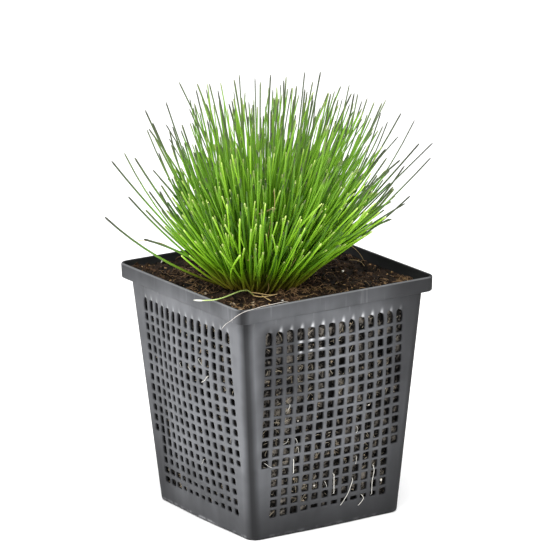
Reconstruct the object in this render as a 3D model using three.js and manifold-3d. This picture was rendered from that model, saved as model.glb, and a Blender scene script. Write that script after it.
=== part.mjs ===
// Potted fiber optic grass: a dense tuft of thread-like leaves in a square mesh pot full of soil.
// Units are millimetres and +Z is up. The origin is the centre of the pot's underside.
// The walls of the pot face along X and Y, and -Y is the front.

import * as THREE from 'three';
import { mergeGeometries, mergeVertices } from 'three/addons/utils/BufferGeometryUtils.js';
import Module from 'manifold-3d';

const wasm = await Module();
wasm.setup();

const { degToRad, lerp, seededRandom } = THREE.MathUtils;

// Clearance between pieces that touch
const CLEARANCE = 0.3;

// Pot: a square moulding that narrows downwards, with a collar that steps outwards
const POT = {
	height: 96,
	wall: 1.2,
	floor: 1.2,
	topHalfWidth: 42,
	bottomHalfWidth: 34.6,
	cornerRadius: 4.5,
	topBow: 1.8,
	bottomBow: 0.6,
	footChamfer: 0.9
};
const COLLAR = {
	height: 5.9,
	halfWidth: 45,
	draft: 0.2
};

// Windows in the walls: each one stands for a block of the fine holes of the mesh
const MESH = {
	columns: 7,
	rows: 5,
	lowest: 8.2,
	highest: 84,
	columnPitch: 9.18,
	rib: 2.3,
	bar: 1.4,
	narrowRows: 2
};
const DRAIN = { pitch: 9, size: 5, perSide: 4 };

// Soil: level and gentle mounds, flat under the plant
const SOIL = {
	level: 92.6,
	mound: 0.7,
	slope: 0.012,
	rings: 7
};

// Plant: the crown where the leaves leave the soil, and the leaves themselves
const CROWN = { x: -7, y: 2, radius: 18 };
const TUFT = {
	locks: 96,
	lockWidth: 3.2,
	tipWidth: 0.8,
	reach: 86,
	shortest: 0.84,
	widestAngle: 50,
	bend: 10,
	rootRadius: 13,
	waistHeight: 8,
	domeHeight: 24,
	domeRadius: 25
};
const BLADE = {
	count: 24,
	width: 1.1,
	tipWidth: 0.5,
	ringRadius: 21,
	longReach: 85,
	longAngle: 55,
	shortReach: 63,
	shortAngle: 62,
	bend: 12,
	steps: 4,
	sides: 5
};

// Fallen leaf: a few points along its way over the soil and the collar
const FALLEN = {
	width: 1.1,
	tipWidth: 0.5,
	steps: 14,
	sides: 5,
	way: [
		[-14, -28.5, 94],
		[-23, -26, 94.5],
		[-27, -22.5, 95.6],
		[-30.5, -20.5, 96.2],
		[-38.5, -24, 97],
		[-46, -26, 97.3],
		[-51, -23.5, 96.6]
	]
};

// Materials

function plastic() {
	return new THREE.MeshStandardMaterial( { color: 0x2f3238, roughness: 0.5, metalness: 0 } );
}

function earth() {
	return new THREE.MeshStandardMaterial( { color: 0x2c1d14, roughness: 1, metalness: 0 } );
}

function leaf() {
	return new THREE.MeshStandardMaterial( { color: 0x5c9a1e, roughness: 0.55, metalness: 0 } );
}

function paleLeaf() {
	return new THREE.MeshStandardMaterial( { color: 0xb9c957, roughness: 0.6, metalness: 0 } );
}

// Solids

// Joins a stack of rings into one closed surface, with a fan over each end.
function loft( rings ) {

	const around = rings[ 0 ].length;
	const positions = rings.flat().flatMap( ( p ) => [ p.x, p.y, p.z ] );
	const triangles = [];

	for ( let i = 0; i + 1 < rings.length; i ++ ) {

		for ( let j = 0; j < around; j ++ ) {

			const a = i * around + j;
			const b = i * around + ( j + 1 ) % around;
			triangles.push( a, b, b + around, a, b + around, a + around );

		}

	}

	const ends = [ [ rings[ 0 ], 0, true ], [ rings.at( - 1 ), ( rings.length - 1 ) * around, false ] ];

	for ( const [ ring, start, turned ] of ends ) {

		const centre = ring.reduce( ( sum, p ) => sum.add( p ), new THREE.Vector3() ).divideScalar( around );
		const hub = positions.length / 3;
		positions.push( centre.x, centre.y, centre.z );

		for ( let j = 0; j < around; j ++ ) {

			const edge = [ start + j, start + ( j + 1 ) % around ];
			if ( turned ) edge.reverse();
			triangles.push( ...edge, hub );

		}

	}

	const geometry = new THREE.BufferGeometry();
	geometry.setAttribute( 'position', new THREE.Float32BufferAttribute( positions, 3 ) );
	geometry.setIndex( triangles );
	return geometry;

}

function toSolid( geometry ) {

	const bare = geometry.clone();
	bare.deleteAttribute( 'normal' );
	bare.deleteAttribute( 'uv' );
	const merged = mergeVertices( bare, 1e-3 );
	return new wasm.Manifold( new wasm.Mesh( {
		numProp: 3,
		vertProperties: new Float32Array( merged.attributes.position.array ),
		triVerts: new Uint32Array( merged.index.array )
	} ) );

}

function toGeometry( solid ) {

	const { vertProperties, triVerts } = solid.getMesh();
	const geometry = new THREE.BufferGeometry();
	geometry.setAttribute( 'position', new THREE.Float32BufferAttribute( vertProperties, 3 ) );
	geometry.setIndex( [ ...triVerts ] );
	geometry.computeVertexNormals();
	return geometry;

}

function makeMesh( name, geometry, material ) {

	const mesh = new THREE.Mesh( geometry, material );
	mesh.name = name;
	return mesh;

}

// A level ring in the shape of a rounded square whose sides bow outwards.
function squareRing( halfWidth, bow, radius, z ) {

	const sideSteps = 4;
	const cornerSteps = 3;
	const straight = halfWidth - radius;
	const ring = [];

	for ( let side = 0; side < 4; side ++ ) {

		const points = [];

		for ( let i = 0; i < sideSteps; i ++ ) {

			const u = lerp( - straight, straight, i / sideSteps );
			const swell = bow * Math.cos( Math.PI * u / ( 2 * straight ) ) ** 2;
			points.push( new THREE.Vector3( u, - halfWidth - swell, z ) );

		}

		for ( let i = 0; i < cornerSteps; i ++ ) {

			const angle = - Math.PI / 2 + ( Math.PI / 2 ) * i / cornerSteps;
			points.push( new THREE.Vector3(
				straight + radius * Math.cos( angle ),
				- straight + radius * Math.sin( angle ),
				z
			) );

		}

		const quarter = new THREE.Matrix4().makeRotationZ( side * Math.PI / 2 );
		ring.push( ...points.map( ( p ) => p.applyMatrix4( quarter ) ) );

	}

	return ring;

}

// Pot

const collarFoot = POT.height - COLLAR.height;

// The ring of the wall at a height, set in by a distance from its outer face.
function wallRing( z, inset ) {

	const rise = z / collarFoot;
	const halfWidth = lerp( POT.bottomHalfWidth, POT.topHalfWidth, rise );
	const bow = lerp( POT.bottomBow, POT.topBow, rise );
	return squareRing( halfWidth - inset, bow, POT.cornerRadius - Math.min( inset, 2 ), z );

}

function collarRing( z, inset ) {

	const drop = ( POT.height - z ) / COLLAR.height;
	const halfWidth = COLLAR.halfWidth - drop * COLLAR.draft - inset;
	return squareRing( halfWidth, 0, POT.cornerRadius - Math.min( inset, 2 ), z );

}

function potShell() {

	const ledge = collarFoot + POT.wall;
	const foot = squareRing(
		POT.bottomHalfWidth - POT.footChamfer, POT.bottomBow, POT.cornerRadius - POT.footChamfer, 0
	);
	return loft( [
		foot,
		wallRing( POT.footChamfer, 0 ),
		wallRing( collarFoot, 0 ),
		collarRing( collarFoot, 0 ),
		collarRing( POT.height, 0 ),
		collarRing( POT.height, POT.wall ),
		collarRing( ledge, POT.wall ),
		wallRing( ledge, POT.wall ),
		wallRing( POT.floor, POT.wall )
	] );

}

// The windows of the front wall, as boxes that pass through it.
function frontWindows() {

	const windowWidth = MESH.columnPitch - MESH.rib;
	const rowPitch = ( MESH.highest - MESH.lowest + MESH.bar ) / MESH.rows;
	const depth = 14;
	const boxes = [];

	for ( let row = 0; row < MESH.rows; row ++ ) {

		const z = MESH.lowest + rowPitch * row + ( rowPitch - MESH.bar ) / 2;
		const y = - lerp( POT.bottomHalfWidth, POT.topHalfWidth, z / collarFoot );

		for ( let column = 0; column < MESH.columns; column ++ ) {

			const place = column - ( MESH.columns - 1 ) / 2;
			const atEdge = column === 0 || column === MESH.columns - 1;
			const narrow = atEdge && row < MESH.narrowRows;
			const width = narrow ? windowWidth - MESH.columnPitch / 2 : windowWidth;
			const shift = narrow ? - Math.sign( place ) * MESH.columnPitch / 4 : 0;
			const box = new THREE.BoxGeometry( width, depth, rowPitch - MESH.bar );
			boxes.push( box.translate( place * MESH.columnPitch + shift, y, z ) );

		}

	}

	return mergeGeometries( boxes );

}

// Square drain holes in the floor, on both sides of a solid cross.
function drainHoles() {

	const boxes = [];

	for ( let i = 0; i < DRAIN.perSide; i ++ ) {

		for ( let j = 0; j < DRAIN.perSide; j ++ ) {

			const x = ( i - ( DRAIN.perSide - 1 ) / 2 ) * DRAIN.pitch;
			const y = ( j - ( DRAIN.perSide - 1 ) / 2 ) * DRAIN.pitch;
			const box = new THREE.BoxGeometry( DRAIN.size, DRAIN.size, 4 * POT.floor );
			boxes.push( box.translate( x + Math.sign( x ) * 3, y + Math.sign( y ) * 3, 0 ) );

		}

	}

	return mergeGeometries( boxes );

}

function pot() {

	let solid = toSolid( potShell() );

	for ( let side = 0; side < 4; side ++ ) {

		const windows = frontWindows().rotateZ( side * Math.PI / 2 );
		solid = solid.subtract( toSolid( windows ) );

	}

	return toGeometry( solid.subtract( toSolid( drainHoles() ) ) );

}

// Soil

// The soil's height at a point: a slope, and mounds that fade out under the crown.
function soilHeight( x, y ) {

	const away = Math.hypot( x - CROWN.x, y - CROWN.y );
	const fade = THREE.MathUtils.smoothstep( away, CROWN.radius + 5, CROWN.radius + 14 );
	const mounds = Math.sin( x * 0.31 + 1 ) * Math.cos( y * 0.27 ) + 0.5 * Math.sin( x * 0.17 - y * 0.43 );
	return SOIL.level + fade * ( SOIL.mound * mounds - SOIL.slope * ( x - CROWN.x ) );

}

function soil() {

	const ledge = collarFoot + POT.wall;
	const inset = POT.wall + CLEARANCE;
	const rings = [
		wallRing( POT.floor + CLEARANCE, inset ),
		wallRing( ledge + CLEARANCE, inset ),
		collarRing( ledge + CLEARANCE, inset )
	];
	const edge = collarRing( SOIL.level, inset );

	for ( let i = 0; i < SOIL.rings; i ++ ) {

		const shrink = 1 - i / SOIL.rings;
		rings.push( edge.map( ( p ) => {

			const x = lerp( CROWN.x, p.x, shrink );
			const y = lerp( CROWN.y, p.y, shrink );
			return new THREE.Vector3( x, y, soilHeight( x, y ) );

		} ) );

	}

	return loft( rings );

}

// Plant

const crownTop = SOIL.level + CLEARANCE;

// A point above the crown at a distance from its centre, an angle off the vertical, and a heading.
function aboveCrown( reach, angle, heading ) {

	const out = reach * Math.sin( angle );
	return new THREE.Vector3(
		CROWN.x + out * Math.cos( heading ),
		CROWN.y + out * Math.sin( heading ),
		crownTop + reach * Math.cos( angle )
	);

}

function onCrown( radius, height, heading ) {

	return new THREE.Vector3(
		CROWN.x + radius * Math.cos( heading ),
		CROWN.y + radius * Math.sin( heading ),
		crownTop + height
	);

}

// A leaf from its foot to its tip along part of a circle, so that it bends outwards as it rises.
// The bend is the angle in degrees between its directions at the foot and at the tip.
function leafGeometry( { foot, tip, bend, width, tipWidth, steps, sides } ) {

	const chord = tip.clone().sub( foot );
	const out = new THREE.Vector3( chord.x, chord.y, 0 ).normalize();
	const across = new THREE.Vector3( - out.y, out.x, 0 );
	const turn = degToRad( bend );
	const start = Math.atan2( chord.dot( out ), chord.z ) - turn / 2;
	const radius = chord.length() / ( 2 * Math.sin( turn / 2 ) );
	const rings = [];

	for ( let i = 0; i <= steps; i ++ ) {

		const angle = start + turn * i / steps;
		const centre = foot.clone().addScaledVector( out, radius * ( Math.cos( start ) - Math.cos( angle ) ) );
		centre.z += radius * ( Math.sin( angle ) - Math.sin( start ) );
		const along = out.clone().multiplyScalar( Math.sin( angle ) );
		along.z = Math.cos( angle );
		rings.push( crossSection( centre, across, along, lerp( width, tipWidth, i / steps ) / 2, sides ) );

	}

	return loft( rings );

}

// A regular polygon around a point, square to the direction of the leaf.
function crossSection( centre, across, along, radius, sides ) {

	const up = new THREE.Vector3().crossVectors( along, across );
	const ring = [];

	for ( let k = 0; k < sides; k ++ ) {

		const angle = 2 * Math.PI * k / sides;
		ring.push( centre.clone()
			.addScaledVector( across, radius * Math.cos( angle ) )
			.addScaledVector( up, radius * Math.sin( angle ) ) );

	}

	return ring;

}

// The tight lower part of the clump, where the leaves stand too close to part.
function clumpCore() {

	const profile = [
		[ 0, 0 ],
		[ CROWN.radius, 0 ],
		[ CROWN.radius + 1.5, TUFT.waistHeight ],
		[ TUFT.domeRadius, TUFT.domeHeight * 0.75 ],
		[ TUFT.domeRadius * 0.6, TUFT.domeHeight ],
		[ 0, TUFT.domeHeight * 1.06 ]
	].map( ( [ r, h ] ) => new THREE.Vector2( r, h ) );
	const core = new THREE.LatheGeometry( profile, 16 );
	return core.rotateX( Math.PI / 2 ).translate( CROWN.x, CROWN.y, crownTop );

}

// The clump: its core and the locks that rise out of it, in sunflower order from the middle outwards.
function grassTuft() {

	seededRandom( 7 );
	let solid = toSolid( clumpCore() );
	const goldenAngle = Math.PI * ( 3 - Math.sqrt( 5 ) );

	for ( let i = 0; i < TUFT.locks; i ++ ) {

		const spread = Math.sqrt( ( i + 0.5 ) / TUFT.locks );
		const heading = i * goldenAngle;
		const jitter = seededRandom() - 0.5;
		const reach = TUFT.reach * lerp( TUFT.shortest, 1, seededRandom() );
		const lock = leafGeometry( {
			foot: onCrown( TUFT.rootRadius * spread, 3, heading ),
			tip: aboveCrown( reach, degToRad( TUFT.widestAngle * spread + 5 * jitter ), heading + 0.2 * jitter ),
			bend: TUFT.bend,
			width: TUFT.lockWidth,
			tipWidth: TUFT.tipWidth,
			steps: 2,
			sides: 3
		} );
		solid = solid.add( toSolid( lock ) );

	}

	return toGeometry( solid );

}

// One of the leaves that stand clear around the clump: long and short ones take turns.
function outerBlade( index ) {

	const heading = 2 * Math.PI * index / BLADE.count;
	const isLong = index % 2 === 0;
	const sway = Math.sin( index * 2.4 );
	const reach = ( isLong ? BLADE.longReach : BLADE.shortReach ) * ( 0.95 + 0.05 * Math.cos( index * 1.7 ) );
	const angle = ( isLong ? BLADE.longAngle : BLADE.shortAngle ) + 2 * sway;
	return leafGeometry( {
		foot: onCrown( BLADE.ringRadius, 0.5, heading ),
		tip: aboveCrown( reach, degToRad( angle ), heading + 0.05 * sway ),
		bend: BLADE.bend,
		width: BLADE.width,
		tipWidth: BLADE.tipWidth,
		steps: BLADE.steps,
		sides: BLADE.sides
	} );

}

function fallenBlade() {

	const path = new THREE.CatmullRomCurve3( FALLEN.way.map( ( p ) => new THREE.Vector3( ...p ) ) );
	const rings = [];

	for ( let i = 0; i <= FALLEN.steps; i ++ ) {

		const t = i / FALLEN.steps;
		const along = path.getTangent( t );
		const across = new THREE.Vector3( - along.y, along.x, 0 ).normalize();
		const radius = lerp( FALLEN.width, FALLEN.tipWidth, t ) / 2;
		rings.push( crossSection( path.getPoint( t ), across, along, radius, FALLEN.sides ) );

	}

	return loft( rings );

}

// The whole plant in its pot

const plant = new THREE.Group();
plant.add( makeMesh( 'pot', pot(), plastic() ) );
plant.add( makeMesh( 'soil', soil(), earth() ) );
plant.add( makeMesh( 'grass_tuft', grassTuft(), leaf() ) );

for ( let index = 0; index < BLADE.count; index ++ ) {

	const number = String( index + 1 ).padStart( 2, '0' );
	plant.add( makeMesh( `outer_blade_${ number }`, outerBlade( index ), leaf() ) );

}

plant.add( makeMesh( 'fallen_blade', fallenBlade(), paleLeaf() ) );

export default plant;
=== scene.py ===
"""Potted fiber optic grass: a mesh pot full of soil with a dense tuft of thread-like leaves.

The frame's solids give every place and size. This file dresses them: a finely perforated pot, crumbly
soil with straw and white grains, about two thousand leaves with their flower heads, and stray roots.
Lengths are in metres, +Z is up, and the pot's walls face along X and Y.
"""

from functools import partial

import bpy
import numpy as np
from bpy.props import FloatProperty, FloatVectorProperty, IntProperty, PointerProperty
from mathutils import Matrix, Vector


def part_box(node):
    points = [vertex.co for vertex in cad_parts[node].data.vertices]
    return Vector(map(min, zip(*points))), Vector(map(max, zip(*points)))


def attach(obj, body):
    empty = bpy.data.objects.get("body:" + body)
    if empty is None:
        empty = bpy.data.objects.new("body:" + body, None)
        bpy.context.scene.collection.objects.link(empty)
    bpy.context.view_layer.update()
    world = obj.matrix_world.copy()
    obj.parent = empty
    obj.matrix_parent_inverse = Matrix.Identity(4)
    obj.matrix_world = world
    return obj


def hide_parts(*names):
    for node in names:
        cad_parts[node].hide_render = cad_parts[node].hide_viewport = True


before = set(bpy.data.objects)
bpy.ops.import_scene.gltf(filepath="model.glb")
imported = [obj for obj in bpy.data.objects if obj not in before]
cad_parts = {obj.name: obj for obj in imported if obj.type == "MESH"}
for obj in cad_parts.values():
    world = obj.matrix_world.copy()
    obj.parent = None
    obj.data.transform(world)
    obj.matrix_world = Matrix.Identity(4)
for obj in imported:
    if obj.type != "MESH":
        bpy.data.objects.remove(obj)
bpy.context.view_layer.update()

bl_info = {
    "name": "Potted Fiber Optic Grass",
    "version": (1, 0, 0),
    "blender": (4, 5, 0),
    "location": "View3D > Sidebar > Potted Grass",
    "description": "Builds a tuft of fiber optic grass in a square mesh pot full of soil",
    "category": "Add Mesh",
}

MM = 0.001
POT_HEIGHT = float(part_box("pot")[1][2])
CROWN = np.array([-0.007, 0.002, float(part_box("grass_tuft")[0][2])])
CLUMP_FOOT = CROWN + np.array([-3.7, -7.3, 0.0]) * MM
OUTER_BLADES = [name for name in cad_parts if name.startswith("outer_blade")]

# The sides' numbers: the front wall faces -Y and the left one -X, and all of them in order
FRONT, LEFT = 0, 3
OUTWARD = np.array([[0, -1, 0], [1, 0, 0], [0, 1, 0], [-1, 0, 0]], float)

# Settings


def a_length(name, description, default):
    """A setting that is a length. Its default is given in millimetres."""
    return FloatProperty(name=name, description=description, default=default * MM, unit="LENGTH")


def an_angle(name, description, default):
    """A setting that is an angle. Its default is given in degrees."""
    return FloatProperty(name=name, description=description, default=np.radians(default), subtype="ANGLE")


def a_count(name, description, default, lowest=1):
    """A setting that is a number of things."""
    return IntProperty(name=name, description=description, default=default, min=lowest)


def a_colour(name, description, default):
    """A setting that is a colour."""
    return FloatVectorProperty(
        name=name, description=description, default=default, subtype="COLOR", min=0, max=1
    )


class PotSettings(bpy.types.PropertyGroup):
    """Sizes and colours of the mesh pot."""

    wall: a_length("Wall", "Thickness of the pot's wall", 1.2)
    top_half: a_length("Top half width", "Half the body's width under the collar", 42)
    bottom_half: a_length("Bottom half width", "Half the body's width at the floor", 34.6)
    top_bow: a_length("Top bow", "How far a wall bows out under the collar", 1.8)
    bottom_bow: a_length("Bottom bow", "How far a wall bows out at the floor", 0.6)
    bulge: a_length("Bulge", "How far the soil pushes a wall's middle out", 1.7)
    corner: a_length("Corner radius", "Radius of the upright corners", 4.5)
    collar_half: a_length("Collar half width", "Half the collar's width", 45)
    collar_height: a_length("Collar height", "Height of the stepped collar", 5.9)
    columns: a_count("Columns", "Columns of holes in a wall", 14, 4)
    rows: a_count("Rows", "Rows of holes in a wall", 18, 4)
    side_rows: a_count("Side rows", "Rows of holes in the outermost columns", 13)
    pitch_across: a_length("Pitch across", "Distance between columns", 4.59)
    pitch_up: a_length("Pitch up", "Distance between rows", 4.16)
    lowest_row: a_length("Lowest row", "Height of the lowest row's middle", 10)
    hole_width: a_length("Hole width", "Width of a hole", 2.7)
    hole_height: a_length("Hole height", "Height of a hole", 2.85)
    top_hole_extra: a_length("Top hole extra", "How much taller the top row's holes are", 1.9)
    colour: a_colour("Plastic", "Colour of the plastic", (0.009, 0.009, 0.010))
    worn_colour: a_colour("Dusty plastic", "Colour of the dusty outside", (0.125, 0.129, 0.139))


class SoilSettings(bpy.types.PropertyGroup):
    """The soil and what lies in it."""

    level: a_length("Level", "Height of the soil at the crown", 92.6)
    mound: a_length("Mound", "Height of the gentle mounds", 0.7)
    slope: FloatProperty(name="Slope", description="Fall of the surface towards +X", default=0.012)
    crumbs: a_count("Crumbs", "Loose crumbs on the surface", 3000)
    fibres: a_count("Fibres", "Straw fibres on the surface", 380)
    wall_fibres: a_count("Wall fibres", "Straw fibres behind the walls' holes", 1900)
    dark: a_colour("Dark soil", "Colour of the damp soil", (0.0042, 0.0032, 0.0026))
    brown: a_colour("Brown soil", "Colour of the dry crumbs", (0.040, 0.023, 0.013))


class GrassSettings(bpy.types.PropertyGroup):
    """The leaves of the tuft."""

    leaves: a_count("Leaves", "Leaves in the clump", 1800)
    reach: a_length("Reach", "Height of the clump's tips over its foot", 80)
    side: a_length("Side", "How far the clump's tips stand out sideways", 46.3)
    offset: a_length("Offset", "How much further they stand out to the right than to the middle", 9.2)
    widest: an_angle("Widest angle", "Angle off the axis of the outermost leaves", 56)
    width: a_length("Leaf width", "Width of a leaf near its foot", 1.08)
    root_radius: a_length("Root radius", "Radius of the patch that the leaves rise from", 12.8)
    heads: a_count("Flower heads", "Tiny heads at the leaf tips", 110)
    bright: a_colour("Fresh green", "Colour of the short fresh leaves", (0.21, 0.465, 0.010))
    deep: a_colour("Deep green", "Colour of the long older leaves", (0.152, 0.37, 0.007))
    foot: a_colour("Foot", "Colour of the leaves where they leave the soil", (0.27, 0.21, 0.028))


class StageSettings(bpy.types.PropertyGroup):
    """The camera's place."""

    azimuth: an_angle("Azimuth", "Camera's turn about +Z", -32.6)
    elevation: an_angle("Elevation", "Camera's height angle", 15.1)
    roll: an_angle("Roll", "Camera's tilt in its own view", -0.69)
    distance: a_length("Distance", "Camera's distance from the middle of its view", 1993.5)
    lens: FloatProperty(name="Lens", description="Focal length", default=333.4, unit="CAMERA")
    aim: FloatVectorProperty(
        name="Aim", description="Point in the middle of the view", subtype="XYZ", unit="LENGTH",
        default=(0.00047, 0.0, 0.0925),
    )


# Mesh helpers


def make_piece(name, points, face_groups, material, slot, node_names=(), uv=None, face_uv=None, smooth=True):
    """Puts points and faces into a new mesh object that rides on the root body.

    face_groups is a list of integer arrays, each with one face in a row, of any width. uv and face_uv,
    where given, hold one pair for each point, which is copied to the corners that use it.
    """
    widths = np.concatenate([np.full(len(group), group.shape[1]) for group in face_groups])
    corners = np.concatenate([group.ravel() for group in face_groups])
    mesh = bpy.data.meshes.new(name)
    mesh.vertices.add(len(points))
    mesh.vertices.foreach_set("co", points.ravel())
    mesh.loops.add(len(corners))
    mesh.loops.foreach_set("vertex_index", corners.astype(np.int32))
    mesh.polygons.add(len(widths))
    starts = np.concatenate([[0], np.cumsum(widths)[:-1]])
    mesh.polygons.foreach_set("loop_start", starts.astype(np.int32))
    mesh.polygons.foreach_set("loop_total", widths.astype(np.int32))
    mesh.polygons.foreach_set("use_smooth", np.full(len(widths), smooth))
    for layer_name, pairs in (("along", uv), ("face", face_uv)):
        if pairs is not None:
            layer = mesh.uv_layers.new(name=layer_name)
            layer.data.foreach_set("uv", pairs[corners].ravel())
    mesh.update(calc_edges=True)
    mesh.validate()
    piece = bpy.data.objects.new(name, mesh)
    bpy.context.scene.collection.objects.link(piece)
    mesh.materials.append(material)
    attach(piece, "root")
    if node_names:
        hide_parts(*node_names)


def unit(vectors):
    """Each vector divided by its own length."""
    return vectors / np.maximum(np.linalg.norm(vectors, axis=-1, keepdims=True), 1e-12)


def smoothstep(value, low, high):
    """3 t squared minus 2 t cubed, where t runs from 0 at low to 1 at high."""
    t = np.clip((value - low) / (high - low), 0, 1)
    return t * t * (3 - 2 * t)


def bands(loops):
    """Quads between each array of point numbers and the next. Its closed loops run along the last axis."""
    return np.concatenate([
        np.stack([a, np.roll(a, -1, -1), np.roll(b, -1, -1), b], axis=-1).reshape(-1, 4)
        for a, b in zip(loops[:-1], loops[1:])
    ])


def ring_faces(levels, around):
    """Quads between level rings, numbered from the bottom up, and triangles to the two poles after them."""
    number = np.arange(levels * around).reshape(levels, around)
    turned = np.roll(number, -1, 1)
    south, north = (np.full(around, number.size + pole) for pole in (0, 1))
    bottom = np.stack([turned[0], number[0], south], axis=-1)
    top = np.stack([number[-1], turned[-1], north], axis=-1)
    return [bands([number[:-1], number[1:]]), np.concatenate([bottom, top])]


def make_tubes(name, material, slot, paths, radii, sides, across, tone, node_names=(), share=None):
    """Puts closed tubes along many paths into one piece.

    paths is (tubes, steps, 3), radii is (tubes, steps) and across is a vector for each tube that is not
    along it. A ring's point at angle a is the path's point plus radius times (cos a times the side
    vector plus sin a times the up vector), both square to the path. The piece's map holds the tube's
    tone, and the share of its length, which runs evenly from 0 to 1 unless it is given.
    """
    count, steps = paths.shape[:2]
    along = unit(np.gradient(paths, axis=1))
    side = unit(np.cross(along, np.cross(across[:, None, :], along)))
    up = np.cross(along, side)
    angle = np.arange(sides) * 2 * np.pi / sides
    ring = side[:, :, None, :] * np.cos(angle)[:, None] + up[:, :, None, :] * np.sin(angle)[:, None]
    points = paths[:, :, None, :] + ring * radii[:, :, None, None]
    index = np.arange(count * steps * sides).reshape(count, steps, sides)
    ends = np.concatenate([index[:, 0, ::-1], index[:, -1]])
    share = np.linspace(0, 1, steps) if share is None else share
    uv = np.stack(np.broadcast_arrays(tone[:, None, None], share[:, None], angle)[:2], axis=-1)
    faces = [bands([index[:, :-1], index[:, 1:]]), ends]
    make_piece(name, points.reshape(-1, 3), faces, material, slot, node_names, uv=uv.reshape(-1, 2))


def smooth_path(points, steps):
    """A Catmull-Rom curve through the points, with the end points doubled, as an array of steps points."""
    padded = np.concatenate([points[:1], points, points[-1:]])
    place = np.linspace(0, len(points) - 1 - 1e-9, steps)
    k = place.astype(int)
    t = (place - k)[:, None]
    a, b, c, d = (padded[k + i] for i in range(4))
    return 0.5 * (2 * b + (c - a) * t + (2 * a - 5 * b + 4 * c - d) * t**2 + (3 * b - a - 3 * c + d) * t**3)


def rumple(x, y, z, seed, octaves=3, size=1.0):
    """Smooth noise between about -1 and 1: sums of sines along turned axes, each octave finer and weaker."""
    maker = np.random.default_rng(seed)
    total = np.zeros(np.broadcast(x, y, z).shape)
    for octave in range(octaves):
        for _ in range(4):
            a, b, c = unit(maker.normal(size=3)) * 2.1**octave / size
            phase = maker.uniform(0, 2 * np.pi)
            total += np.sin(a * x + b * y + c * z + phase) / (4 * 1.7**octave)
    return total


# Shader helpers


def feed(tree, socket, value):
    """Links an output to a socket, or gives the socket a number, a vector or a colour."""
    if isinstance(value, bpy.types.NodeSocket):
        tree.links.new(value, socket)
    elif isinstance(value, (int, float)):
        socket.default_value = value
    else:
        socket.default_value = [*value, 1][: len(socket.default_value)]


def add_node(tree, kind, inputs=(), **properties):
    """A new shader node with its properties, and its inputs by number or name."""
    node = tree.nodes.new(kind)
    for key, value in properties.items():
        setattr(node, key, value)
    for key, value in dict(inputs).items():
        feed(tree, node.inputs[key], value)
    return node


def add_math(tree, operation, *values, clamp=False):
    """A Math node. Returns its output."""
    node = add_node(tree, "ShaderNodeMath", enumerate(values), operation=operation, use_clamp=clamp)
    return node.outputs[0]


def add_scaled(tree, base, value, factor):
    """The base plus the value times the factor."""
    return add_math(tree, "ADD", base, add_math(tree, "MULTIPLY", value, factor))


def add_bell(tree, *values):
    """A bell curve: e to the power of minus the sum of the values' squares."""
    total = 0.0
    for value in values:
        total = add_scaled(tree, total, value, value)
    return add_math(tree, "EXPONENT", add_math(tree, "MULTIPLY", total, -1.0))


def add_mix(tree, factor, first, second):
    """A colour mix. Returns its output."""
    return add_node(tree, "ShaderNodeMix", {0: factor, 6: first, 7: second}, data_type="RGBA").outputs[2]


def add_noise(tree, place, scale, detail=3.0, roughness=0.55):
    """A noise texture at a place. Returns its value from 0 to 1."""
    inputs = {"Vector": place, "Scale": scale, "Detail": detail, "Roughness": roughness}
    return add_node(tree, "ShaderNodeTexNoise", inputs).outputs[0]


def add_range(tree, value, low, high):
    """A value stretched so that low becomes 0 and high becomes 1, and clamped. Returns its output."""
    inputs = {"Value": value, "From Min": low, "From Max": high}
    return add_node(tree, "ShaderNodeMapRange", inputs).outputs["Result"]


def add_place(tree, stretch=(1, 1, 1)):
    """Object coordinates, stretched along each axis. Returns the output."""
    place = add_node(tree, "ShaderNodeTexCoord").outputs["Object"]
    return add_node(tree, "ShaderNodeMapping", {"Vector": place, "Scale": stretch}).outputs[0]


def split(tree, vector):
    """A vector's X, Y and Z, as outputs."""
    return add_node(tree, "ShaderNodeSeparateXYZ", {0: vector}).outputs


def read_map(tree, name):
    """The two numbers of a piece's own map, as outputs."""
    return split(tree, add_node(tree, "ShaderNodeUVMap", uv_map=name).outputs[0])[:2]


def shared_group(name, inputs, outputs, fill):
    """The shader node group of this name, made the first time that it is asked for.

    inputs has each input's default, where a float makes a number and anything else a vector. outputs
    names the numbers that it puts out. fill adds the nodes and returns the outputs' values.
    """
    if name in bpy.data.node_groups:
        return bpy.data.node_groups[name]
    group = bpy.data.node_groups.new(name, "ShaderNodeTree")
    for socket_name, default in inputs.items():
        kind = "NodeSocketFloat" if isinstance(default, float) else "NodeSocketVector"
        group.interface.new_socket(socket_name, in_out="INPUT", socket_type=kind).default_value = default
    for socket_name in outputs:
        group.interface.new_socket(socket_name, in_out="OUTPUT", socket_type="NodeSocketFloat")
    given = add_node(group, "NodeGroupInput").outputs
    result = add_node(group, "NodeGroupOutput").inputs
    for socket_name, value in zip(outputs, fill(group, given)):
        group.links.new(value, result[socket_name])
    return group


def crumble_group():
    """Crumbly tone and relief: cloudy noise over fine noise, with a mask of sparse pale specks."""

    def fill(group, given):
        inputs = {0: given["Place"], "Scale": given["Scale"]}
        scaled = add_node(group, "ShaderNodeVectorMath", inputs, operation="SCALE").outputs[0]
        clouds = add_math(group, "MULTIPLY", add_noise(group, scaled, 160, 2), 0.5)
        relief = add_scaled(group, clouds, add_noise(group, scaled, 900, 4, 0.65), 0.5)
        floor = add_scaled(group, 0.86, given["Speck Share"], -0.3)
        above = add_math(group, "SUBTRACT", add_noise(group, scaled, 620, 1, 0.4), floor)
        specks = add_math(group, "MULTIPLY", above, 18, clamp=True)
        return add_range(group, relief, 0.36, 0.64), specks, relief

    inputs = {"Place": (0, 0, 0), "Scale": 1.0, "Speck Share": 0.3}
    return shared_group("Crumble", inputs, ("Tone", "Specks", "Relief"), fill)


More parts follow.
